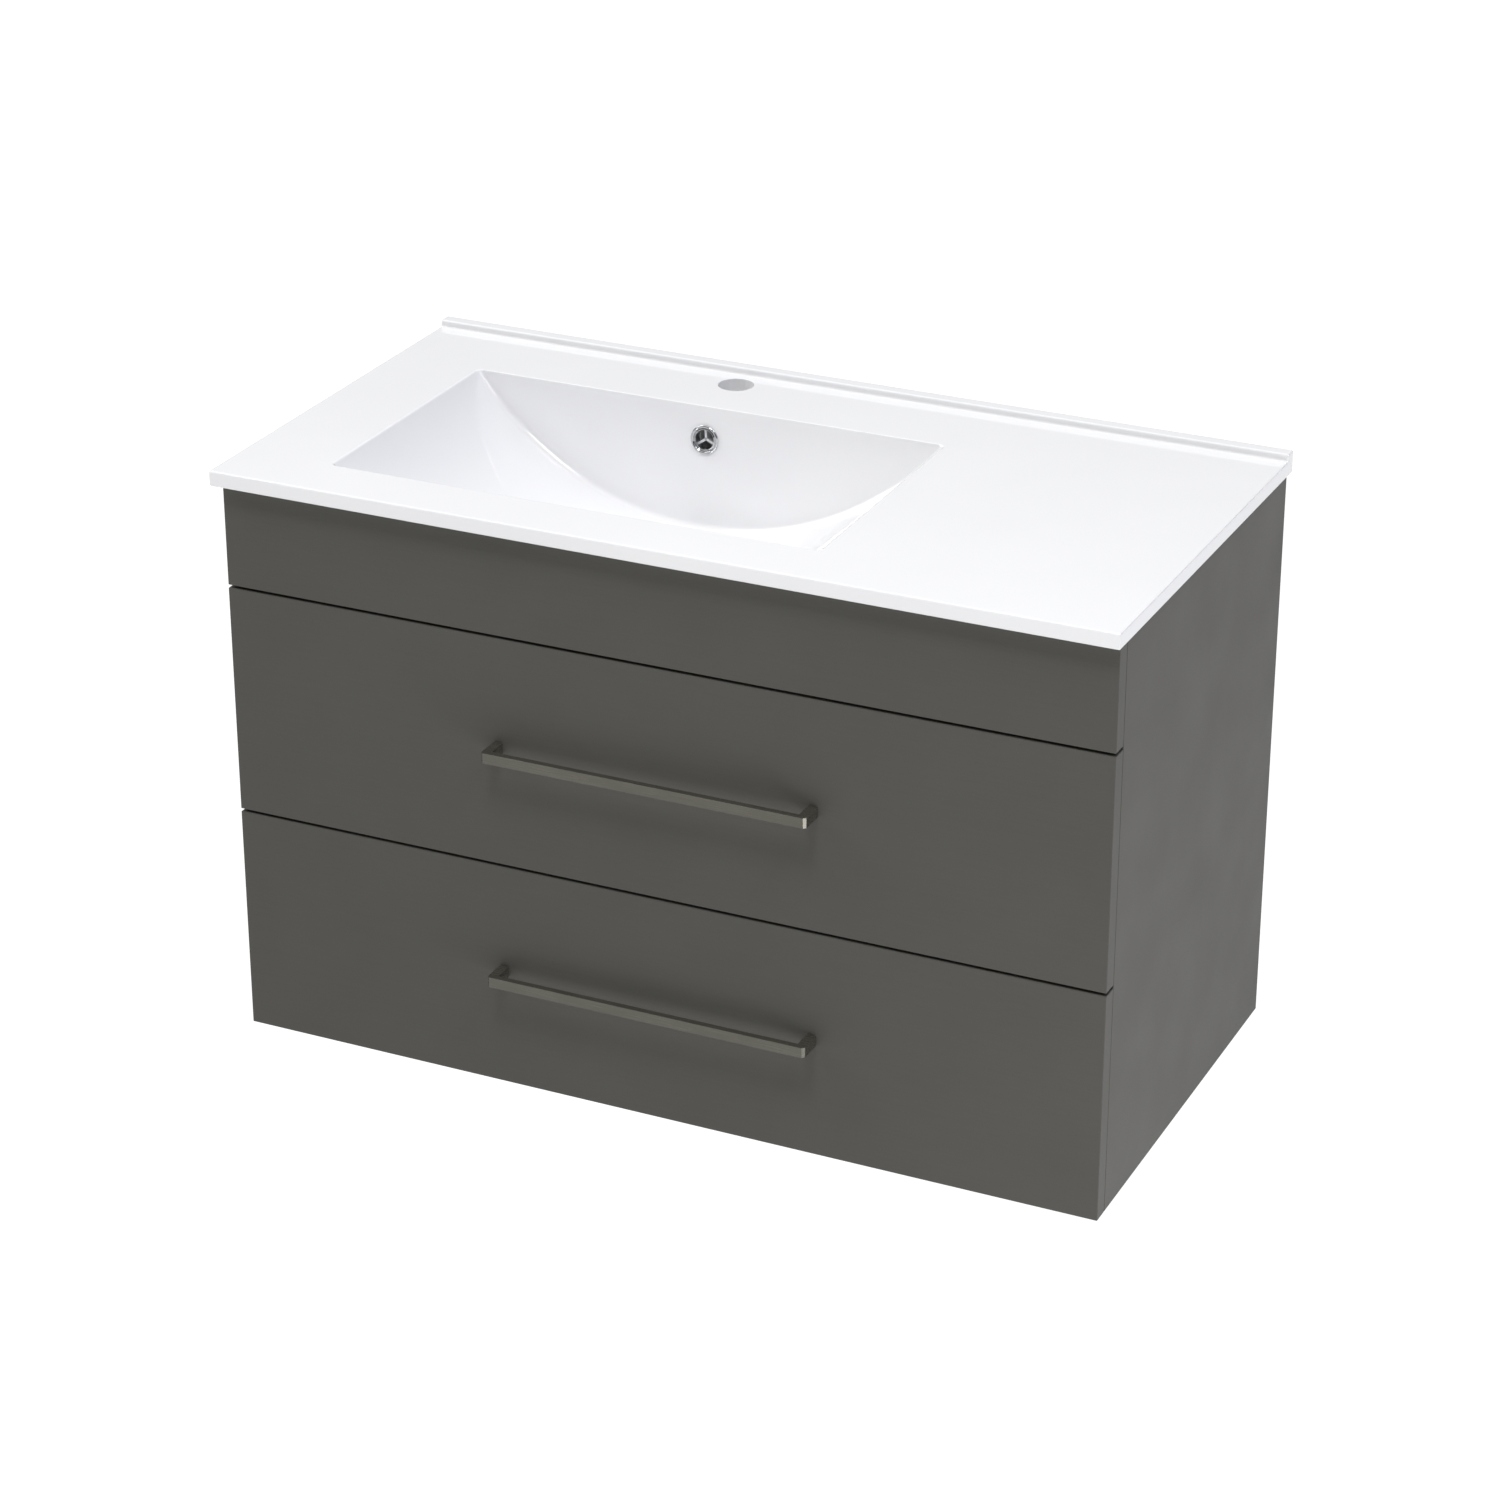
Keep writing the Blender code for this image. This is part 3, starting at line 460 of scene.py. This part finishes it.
def stations():
    """Lines across the width: x, and how far the section has shrunk where the ends are rounded."""
    left, right = TOP_LOW.x, TOP_HIGH.x
    edge = SMALL_EDGE_RADIUS
    patch = WASTE_CELLS * CELL
    rims = [BOWL_X - BOWL_WIDTH / 2, BOWL_X + BOWL_WIDTH / 2]
    lines = chain(
        [
            (left + edge, EDGE_STEP),
            (left + edge + 0.001, FLAT_STEP),
            (rims[0] - 0.004, EDGE_STEP),
            (rims[0] + 0.006, BOWL_STEP),
            (BOWL_X - patch, CELL),
            (BOWL_X + patch, BOWL_STEP),
            (rims[1] - 0.006, EDGE_STEP),
            (rims[1] + 0.004, FLAT_STEP),
            (right - edge - 0.001, EDGE_STEP),
            right - edge,
        ]
    )
    turns = [math.radians(angle) for angle in (22.5, 45, 67.5, 90)]
    round_end = [(edge * (1 - math.sin(turn)), edge * (1 - math.cos(turn))) for turn in turns]
    first = [(left + inset, shrink) for inset, shrink in reversed(round_end)]
    last = [(right - inset, shrink) for inset, shrink in round_end]
    return first + [(x, 0.0) for x in lines] + last


def deck_rows():
    """Lines across the depth of the upper surface, close together where it curves."""
    waste = WASTE_CELLS * CELL
    tap = TAP_CELLS * CELL
    foot = BOWL_DRAFT * BOWL_DEPTH
    cove = -UPSTAND_THICKNESS - COVE_RADIUS
    return chain(
        [
            (TOP_LOW.y + TOP_EDGE_RADIUS, EDGE_STEP),
            (TOP_LOW.y + TOP_EDGE_RADIUS + 0.001, FLAT_STEP),
            (BOWL_FRONT - 0.004, RIM_STEP),
            (BOWL_FRONT + 0.001, 0.0006),
            (BOWL_FRONT + foot + 0.011, BOWL_STEP),
            (WASTE_Y - waste, CELL),
            (WASTE_Y + waste, 0.0006),
            (BOWL_BACK - BOWL_DRAFT * 42 * CELL, BOWL_DRAFT * CELL),
            (BOWL_BACK, RIM_STEP),
            (BOWL_BACK + 0.008, BOWL_STEP),
            (TAP_Y - tap, CELL),
            (TAP_Y + tap, EDGE_STEP),
            cove,
        ]
    )


def under_rows():
    """Lines across the depth of the lower surface, from the wall to the front."""
    waste = WASTE_CELLS * CELL
    tap = TAP_CELLS * CELL
    foot = BOWL_DRAFT * BOWL_DEPTH
    outer_back = BOWL_BACK + BOWL_WALL
    outer_front = BOWL_FRONT - BOWL_WALL
    rows = chain(
        [
            (TOP_LOW.y + SMALL_EDGE_RADIUS, UNDER_STEP),
            (outer_front - 0.006, UNDER_EDGE_STEP),
            (outer_front + foot + 0.013, UNDER_STEP),
            (WASTE_Y - waste, CELL),
            (WASTE_Y + waste, UNDER_EDGE_STEP),
            (outer_back - BOWL_DRAFT * 42 * CELL, BOWL_DRAFT * CELL),
            (outer_back, UNDER_EDGE_STEP),
            (outer_back + 0.006, BOWL_STEP),
            (TAP_Y - tap, CELL),
            (TAP_Y + tap, UNDER_STEP),
            -SMALL_EDGE_RADIUS,
        ]
    )
    return rows[::-1]


def edge_rows():
    """The section's front edge, and its upstand and back edge, as (y, z) points."""
    small, edge, lip = SMALL_EDGE_RADIUS, TOP_EDGE_RADIUS, UPSTAND_EDGE_RADIUS
    front, upstand = TOP_LOW.y, -UPSTAND_THICKNESS
    front_edge = arc((front + small, UNDERSIDE + small), small, 270, 180, 4)[1:]
    front_edge += [(front, UNDERSIDE + 0.003), (front, DECK - edge - 0.0006)]
    front_edge += arc((front + edge, DECK - edge), edge, 180, 90, 6)[:-1]
    back_edge = arc((upstand - COVE_RADIUS, DECK + COVE_RADIUS), COVE_RADIUS, -90, 0, 10)[1:]
    back_edge += arc((upstand + lip, TOP_HIGH.z - lip), lip, 180, 90, 7)
    back_edge += [(upstand + lip + 0.0006, TOP_HIGH.z), (-small - 0.0006, TOP_HIGH.z)]
    back_edge += arc((-small, TOP_HIGH.z - small), small, 90, 0, 5)
    back_edge += [(0.0, TOP_HIGH.z - 0.003), (0.0, UNDERSIDE + 0.003)]
    back_edge += arc((-small, UNDERSIDE + small), small, 0, -90, 4)[:-1]
    return front_edge, back_edge


def unit(vectors):
    return vectors / np.linalg.norm(vectors, axis=1)[:, None]


def outward(loop):
    """Unit normals of a closed loop of (y, z) points that runs clockwise seen from +X."""
    points = np.array(loop)
    ahead = np.roll(points, -1, 0) - points
    behind = points - np.roll(points, 1, 0)
    along = unit(unit(ahead) + unit(behind))
    return np.stack([-along[:, 1], along[:, 0]], 1)


def nearest(values, wanted):
    return int(np.argmin(np.abs(np.asarray(values) - wanted)))


def border(grid, columns, rows):
    """The corners round a patch of the grid, from its low x and low y, low y first."""
    (left, right), (front, back) = columns, rows
    step = 1 if back > front else -1
    around = [(column, front) for column in range(left, right)]
    around += [(right, row) for row in range(front, back, step)]
    around += [(column, back) for column in range(right, left, -1)]
    around += [(left, row) for row in range(back, front, -step)]
    return [grid[column][row] for column, row in around]


def ring(shape, count, centre, radius, height):
    """A circle of corners over a centre. height is a number or a function of x and y."""
    made = []
    for number in range(count):
        angle = 2 * math.pi * number / count - 0.75 * math.pi
        x = centre[0] + radius * math.cos(angle)
        y = centre[1] + radius * math.sin(angle)
        z = float(height(x, y)) if callable(height) else height
        made.append(shape.verts.new((x, y, z)))
    return made


def between(shape, outer, inner, shares, height=None):
    """Loops part of the way from one loop of corners to another, laid on a height if one is given."""
    loops = []
    for share in shares:
        loop = []
        for near, far in zip(outer, inner):
            point = near.co.lerp(far.co, share)
            if height:
                point.z = float(height(point.x, point.y))
            loop.append(shape.verts.new(point))
        loops.append(loop)
    return loops


def tap_hole(shape, above, below):
    count = len(above)
    edge = 0.0008
    rings = []
    for angle in (90, 60, 30, 0):
        turn = math.radians(angle)
        radius = TAP_RADIUS + edge * (1 - math.cos(turn))
        rings.append(ring(shape, count, (BOWL_X, TAP_Y), radius, DECK - edge * (1 - math.sin(turn))))
    rings.append(ring(shape, count, (BOWL_X, TAP_Y), TAP_RADIUS, UNDERSIDE + edge))
    rings.append(ring(shape, count, (BOWL_X, TAP_Y), TAP_RADIUS + edge, UNDERSIDE))
    loops = [above, *between(shape, above, rings[0], (0.5, 0.85)), *rings]
    bridge(shape, [*loops, *between(shape, rings[-1], below, (0.3,)), below])


def waste_seat(shape, above, below):
    """Recess and hole for the waste, and the boss under the bowl that its nut draws against."""
    count = len(above)
    place = (BOWL_X, WASTE_Y)
    edge = 0.0008

    def made(radius, height):
        return ring(shape, count, place, radius, height)

    def lowered(drop):
        return lambda x, y: top_height(x, y) - drop

    def under(drop):
        return lambda x, y: under_height(x, y) - drop

    recess = [made(WASTE_RECESS_RADIUS + edge, top_height)]
    recess.append(made(WASTE_RECESS_RADIUS + 0.3 * edge, lowered(0.3 * edge)))
    recess.append(made(WASTE_RECESS_RADIUS, lowered(edge)))
    recess.append(made(WASTE_RECESS_RADIUS, WASTE_SEAT + 0.4 * edge))
    recess.append(made(WASTE_RECESS_RADIUS - 0.4 * edge, WASTE_SEAT))
    hole = [made(WASTE_HOLE_RADIUS + edge, WASTE_SEAT), made(WASTE_HOLE_RADIUS, WASTE_SEAT - edge)]
    hole += [made(WASTE_HOLE_RADIUS, BOSS_BOTTOM + edge), made(WASTE_HOLE_RADIUS + edge, BOSS_BOTTOM)]
    boss = [made(BOSS_RADIUS - edge, BOSS_BOTTOM), made(BOSS_RADIUS, BOSS_BOTTOM + edge)]
    boss += [made(BOSS_RADIUS, under(0.003)), made(BOSS_RADIUS + 0.001, under(0.001))]
    boss.append(made(BOSS_RADIUS + 0.003, under_height))
    upper = between(shape, above, recess[0], (0.3, 0.6, 0.85), top_height)
    lower = between(shape, boss[-1], below, (0.4,), under_height)
    bridge(shape, [above, *upper, *recess, *hole, *boss, *lower, below])


def overflow_hole(shape, inside, outside):
    count = len(inside)
    up = Vector((0, BOWL_DRAFT * SLANT, SLANT))
    outer_place = OVERFLOW_PLACE + Vector((0, BOWL_WALL, 0))
    loops = []
    for place in (OVERFLOW_PLACE, outer_place):
        loop = []
        for number in range(count):
            angle = 2 * math.pi * number / count - 0.75 * math.pi
            sideways = Vector((OVERFLOW_RADIUS * math.cos(angle), 0, 0))
            loop.append(shape.verts.new(place + sideways + up * OVERFLOW_RADIUS * math.sin(angle)))
        loops.append(loop)
    bridge(shape, [inside, *loops, outside])


def patch_spans(grow):
    """The first and last y of each hole's patch, on the upper surface or on the lower one."""
    waste, tap = WASTE_CELLS * CELL, TAP_CELLS * CELL
    depths = [OVERFLOW_DEPTH + sign * OVERFLOW_CELLS * CELL for sign in (1, -1)]
    return {
        "tap": [TAP_Y - tap, TAP_Y + tap],
        "waste": [WASTE_Y - waste, WASTE_Y + waste],
        "overflow": [BOWL_BACK + grow - BOWL_DRAFT * depth for depth in depths],
    }


def in_patch(line, row, patches):
    for (left, right), *spans in patches:
        for span in spans:
            if left <= line < right and min(span) <= row < max(span):
                return True
    return False


def skin(shape, grid, patches):
    """Faces over the grid and its two ends, apart from the patches where the holes go."""
    for line in range(len(grid) - 1):
        near, far = grid[line], grid[line + 1]
        for row in range(len(near)):
            after = (row + 1) % len(near)
            if not in_patch(line, row, patches):
                shape.faces.new((near[row], near[after], far[after], far[row]))
    shape.faces.new(grid[0])
    shape.faces.new(grid[-1])


def moulded_top():
    """One closed surface: a section drawn out along the width, with the holes let into it."""
    lines = stations()
    front_edge, back_edge = edge_rows()
    deck, under = deck_rows(), under_rows()
    section = front_edge + [(y, DECK) for y in deck] + back_edge + [(y, UNDERSIDE) for y in under]
    normals = outward(section)
    first_deck = len(front_edge)
    first_under = first_deck + len(deck) + len(back_edge)
    x = np.array([line[0] for line in lines])
    heights = np.tile([z for _, z in section], (len(lines), 1))
    heights[:, first_deck : first_deck + len(deck)] = top_height(x[:, None], np.array(deck)[None, :])
    heights[:, first_under:] = under_height(x[:, None], np.array(under)[None, :])

    shape = bmesh.new()
    grid = []
    for (across, shrink), line in zip(lines, heights):
        corners = []
        for (y, _), z, normal in zip(section, line, normals):
            corners.append(shape.verts.new((across, y - normal[0] * shrink, z - normal[1] * shrink)))
        grid.append(corners)

    patches = []
    for name, cells in (("tap", TAP_CELLS), ("waste", WASTE_CELLS), ("overflow", OVERFLOW_CELLS)):
        columns = [nearest(x, BOWL_X + sign * cells * CELL) for sign in (-1, 1)]
        above = [first_deck + nearest(deck, y) for y in patch_spans(0)[name]]
        below = [first_under + nearest(under, y) for y in patch_spans(BOWL_WALL)[name]]
        patches.append((columns, above, below))
    skin(shape, grid, patches)
    for cut, (columns, above, below) in zip((tap_hole, waste_seat, overflow_hole), patches):
        cut(shape, border(grid, columns, above), border(grid, columns, below))
    loose = [corner for corner in shape.verts if not corner.link_faces]
    bmesh.ops.delete(shape, geom=loose, context="VERTS")
    return finished("moulded_top", shape, GLAZE, "cabinet", "glaze", "basin_top")


# Fittings --------------------------------------------------------------------------------------

TURN_STEPS = 112  # sides of a turned piece
RING_RADIUS = 0.0146
RING_BEAD = 0.0015
TUBE_RADIUS = 0.0107
TUBE_BORE = 0.0098
GRID_DEPTH = 0.0022  # of the overflow's blades, behind the face of the wall
BLADE_WIDTH = 0.0024
BLADE_HEIGHT = 0.0125
SCREW_HEAD_HEIGHT = 0.0024
RECESS_DEPTH = 0.0013


def turned(profile, steps=TURN_STEPS):
    """A closed profile of (radius, height) points spun round Z."""
    shape = bmesh.new()
    angles = [2 * math.pi * step / steps for step in range(steps)]
    rings = []
    for radius, height in profile:
        spots = [(radius * math.cos(angle), radius * math.sin(angle), height) for angle in angles]
        if radius == 0:
            spots = spots[:1]
        rings.append([shape.verts.new(spot) for spot in spots])
    for near, far in zip(rings, rings[1:] + rings[:1]):
        for here in range(steps):
            there = (here + 1) % steps
            corners = [near[here % len(near)], near[there % len(near)]]
            corners += [far[there % len(far)], far[here % len(far)]]
            corners = list(dict.fromkeys(corners))
            if len(corners) > 2:
                shape.faces.new(corners)
    return shape


def rounded_block(size, place, turn, edge):
    """A block with rounded edges, turned about Z."""
    shape = bmesh.new()
    bmesh.ops.create_cube(shape, size=1.0)
    bmesh.ops.scale(shape, vec=size, verts=shape.verts)
    bmesh.ops.bevel(shape, geom=shape.edges[:], offset=edge, segments=3, profile=0.5, affect="EDGES")
    bmesh.ops.translate(shape, vec=place, verts=shape.verts)
    bmesh.ops.rotate(shape, cent=(0, 0, 0), matrix=Matrix.Rotation(turn, 3, "Z"), verts=shape.verts)
    return shape


def joined(first, *others):
    """The first bmesh with the faces of the others."""
    for other in others:
        scrap = bpy.data.meshes.new("scrap")
        other.to_mesh(scrap)
        other.free()
        first.from_mesh(scrap)
        bpy.data.meshes.remove(scrap)
    return first


def overflow_ring():
    """A beaded flange, a lip inside it, and three blades set back in the tube."""
    profile = [(TUBE_BORE, -BOWL_WALL), (TUBE_RADIUS, -BOWL_WALL), (TUBE_RADIUS, 0.0003)]
    profile += [(RING_RADIUS - 0.0003, 0.0003)]
    profile += arc((RING_RADIUS - RING_BEAD, 0.0010), RING_BEAD, -20, 160, 14)
    profile += [(TUBE_RADIUS + 0.0007, 0.0011)]
    lip = (TUBE_RADIUS + TUBE_BORE) / 2
    profile += arc((lip, 0.0011), (TUBE_RADIUS - TUBE_BORE) / 2, 40, 180, 8)
    blades = []
    for number in range(3):
        size = (TUBE_RADIUS, BLADE_WIDTH, BLADE_HEIGHT)
        middle = (TUBE_RADIUS / 2 - BLADE_WIDTH / 4, 0, -GRID_DEPTH - BLADE_HEIGHT / 2)
        blades.append(rounded_block(size, middle, math.radians(95 + 120 * number), 0.0002))
    facing = Matrix.Rotation(math.pi / 2 - math.atan(BOWL_DRAFT), 4, "X")
    place = Matrix.Translation(OVERFLOW_PLACE) @ facing
    for name, shape, material in (
        ("overflow_beaded_ring", turned(profile), CHROME),
        ("overflow_grid", joined(*blades), satin_chrome()),
    ):
        shape.transform(place)
        finished(name, shape, material, "cabinet", "chrome", "overflow_ring")


def waste_plug():
    """The domed plug with a rolled rim and a faint groove, on its collar and stem."""
    low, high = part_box("waste_plug_cap")
    radius = (high.x - low.x) / 2
    rim, crown = 0.0017, 0.0008
    under = high.z - 0.0036
    stem, collar = 0.004, 0.006
    profile = [(0.0, low.z), (stem - 0.0005, low.z), (stem, low.z + 0.0005), (stem, under - 0.005)]
    profile += [(collar, under - 0.0045), (collar, under)]
    profile += arc((radius - rim, under + rim), rim, -90, 70, 14)
    for share in (0.85, 0.72, 0.70, 0.685, 0.67, 0.65, 0.5, 0.35, 0.2, 0.1):
        groove = 0.00025 if 0.66 < share < 0.71 else 0.0
        profile.append((radius * share, high.z - crown * share**2 - groove))
    profile.append((0.0, high.z))
    shape = turned(profile)
    middle = (low + high) / 2
    shape.transform(Matrix.Translation((middle.x, middle.y, 0)))
    finished("waste_domed_plug", shape, CHROME, "waste_plug", "chrome", "waste_plug_cap")


def screw(node, body):
    """A pan-head screw with a cross recess. Its head faces the wall, as it is driven from inside."""
    low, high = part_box(node)
    radius = (high.x - low.x) / 2
    length = high.y - low.y - SCREW_HEAD_HEIGHT
    shank = radius / 2
    profile = [(0.0, -length), (shank, -length + 0.002), (shank, 0.0), (radius, 0.0)]
    profile += [(radius, 0.35 * SCREW_HEAD_HEIGHT)]
    profile += arc((0.45 * radius, 0.35 * SCREW_HEAD_HEIGHT), 0.55 * radius, 12, 78, 8)
    profile += [(0.3 * radius, SCREW_HEAD_HEIGHT * 0.985), (0.0, SCREW_HEAD_HEIGHT)]
    facing = Matrix.Rotation(-math.pi / 2, 4, "X")
    middle = (low + high) / 2
    place = Matrix.Translation((middle.x, high.y - SCREW_HEAD_HEIGHT, middle.z)) @ facing
    head = turned(profile, 64)
    head.transform(place)
    made = finished(f"{node}_cross_head", head, MATERIALS["zinc_steel"], body, "zinc_steel", node)
    cutters = []
    for turn in (0, math.pi / 2):
        size = (1.15 * radius, 0.22 * radius, 2 * RECESS_DEPTH)
        cutter = rounded_block(size, (0, 0, SCREW_HEAD_HEIGHT), turn, 0.00008)
        cutter.transform(place)
        cutters.append(cutter)
    carve(made, cutters)


def carve(piece, cutters):
    """Cuts the shapes out of the piece's mesh."""
    helpers = []
    for shape in cutters:
        mesh = bpy.data.meshes.new("cutter")
        shape.to_mesh(mesh)
        shape.free()
        helper = bpy.data.objects.new("cutter", mesh)
        bpy.context.scene.collection.objects.link(helper)
        cut = piece.modifiers.new("cut", "BOOLEAN")
        cut.operation = "DIFFERENCE"
        cut.object = helper
        helpers.append(helper)
    carved = bpy.data.meshes.new_from_object(piece.evaluated_get(bpy.context.evaluated_depsgraph_get()))
    carved.shade_smooth()
    carved.set_sharp_from_angle(angle=SHARP_ANGLE)
    for modifier in list(piece.modifiers):
        if modifier.type == "BOOLEAN":
            piece.modifiers.remove(modifier)
    piece.data = carved
    for helper in helpers:
        bpy.data.objects.remove(helper)


def screws():
    for part in frame["record"]["subparts"]:
        node = part["node"]
        if "screw" in node:
            body = node.split("_screw")[0].replace("_handle", "")
            screw(node, "cabinet" if body == "fascia" else body)


# Floor, light and camera -----------------------------------------------------------------------

FLOOR_BELOW = 0.32  # a wall-hung vanity's clearance
FLOOR_HALF_WIDTH = 30.0
CAMERA_AZIMUTH = 25.05
CAMERA_ELEVATION = 25.04
CAMERA_DISTANCE = 4.008
CAMERA_AIM = Vector((0.0001, -0.0006, -0.0010))  # from the middle of the CAD box
CAMERA_LENS = 100.28

# Colours of the surround on the left and on the right, and where along X one turns into the other
SKY_LEFT = (1.0, 1.0, 0.985, 1.0)
SKY_RIGHT = (0.80, 0.83, 1.0, 1.0)
SKY_TURN = (0.15, 0.7)
# Brightness of the surround along an axis: (axis, from, to, brightness at from, brightness at to)
SKY_RAMPS = (("Z", 0.15, 0.95, 0.13, 1.18), ("Y", 0.15, 0.7, 1.0, 0.95), ("Y", -0.8, -0.1, 0.35, 1.0))

# Soft boxes: (name, place from the middle of the CAD box, width and height, watts)
LAMPS = (
    ("front_above", (0.3, -1.5, 2.6), (0.6, 0.6), 22.0),
    ("key", (-3.6, -0.7, 3.2), (2.7, 2.7), 72.0),
    ("sparkle", (1.2, -0.7, 2.0), (0.4, 0.4), 5.0),
    ("right_strip", (1.0, -0.64, -0.44), (0.35, 0.32), 2.3),
)


def box_middle():
    return (Vector(cad_box[0]) + Vector(cad_box[1])) / 2


def floor():
    shape = bmesh.new()
    bmesh.ops.create_grid(shape, x_segments=24, y_segments=24, size=FLOOR_HALF_WIDTH)
    mesh = bpy.data.meshes.new("floor")
    shape.to_mesh(mesh)
    shape.free()
    mesh.materials.append(floor_paint())
    made = bpy.data.objects.new("floor", mesh)
    made.location.z = cad_box[0][2] - FLOOR_BELOW
    bpy.context.scene.collection.objects.link(made)


def lamp(name, offset, size, power):
    """A soft box that faces the middle of the vanity."""
    data = bpy.data.lights.new(name, "AREA")
    data.shape = "RECTANGLE"
    data.size, data.size_y = size
    data.energy = power
    made = bpy.data.objects.new(name, data)
    made.location = box_middle() + Vector(offset)
    made.rotation_euler = (-Vector(offset)).to_track_quat("-Z", "Y").to_euler()
    bpy.context.scene.collection.objects.link(made)


def studio_sky():
    """A pale surround that is brightest overhead and dimmer low down and in front."""
    world = bpy.data.worlds.new("studio")
    world.use_nodes = True
    nodes, links = world.node_tree.nodes, world.node_tree.links
    direction = nodes.new("ShaderNodeSeparateXYZ")
    links.new(nodes.new("ShaderNodeTexCoord").outputs["Generated"], direction.inputs[0])

    def ramp(axis, start, end, low, high, kind):
        made = nodes.new("ShaderNodeMapRange")
        made.interpolation_type = kind
        for name, value in zip(("From Min", "From Max", "To Min", "To Max"), (start, end, low, high)):
            made.inputs[name].default_value = value
        links.new(direction.outputs[axis], made.inputs["Value"])
        return made.outputs[0]

    tint = nodes.new("ShaderNodeMix")
    tint.data_type = "RGBA"
    tint.inputs["A"].default_value = SKY_LEFT
    tint.inputs["B"].default_value = SKY_RIGHT
    links.new(ramp("X", *SKY_TURN, 0.0, 1.0, "LINEAR"), tint.inputs["Factor"])
    links.new(tint.outputs["Result"], nodes["Background"].inputs["Color"])

    strength = ramp(*SKY_RAMPS[0], "SMOOTHSTEP")
    for values in SKY_RAMPS[1:]:
        product = nodes.new("ShaderNodeMath")
        product.operation = "MULTIPLY"
        links.new(strength, product.inputs[0])
        links.new(ramp(*values, "SMOOTHSTEP"), product.inputs[1])
        strength = product.outputs[0]
    links.new(strength, nodes["Background"].inputs["Strength"])
    bpy.context.scene.world = world


def light():
    for values in LAMPS:
        lamp(*values)
    studio_sky()
    bpy.context.scene.view_settings.view_transform = "Standard"


def camera():
    azimuth, elevation = math.radians(CAMERA_AZIMUTH), math.radians(CAMERA_ELEVATION)
    back = Vector((math.sin(azimuth), -math.cos(azimuth), 0)) * math.cos(elevation)
    back.z = math.sin(elevation)
    aim = box_middle() + CAMERA_AIM
    data = bpy.data.cameras.new("camera")
    data.lens = CAMERA_LENS
    made = bpy.data.objects.new("camera", data)
    made.location = aim + back * CAMERA_DISTANCE
    made.rotation_euler = (-back).to_track_quat("-Z", "Y").to_euler()
    bpy.context.scene.collection.objects.link(made)
    bpy.context.scene.camera = made


camera()
light()
floor()
dress_cad_nodes()
moulded_top()
overflow_ring()
waste_plug()
screws()
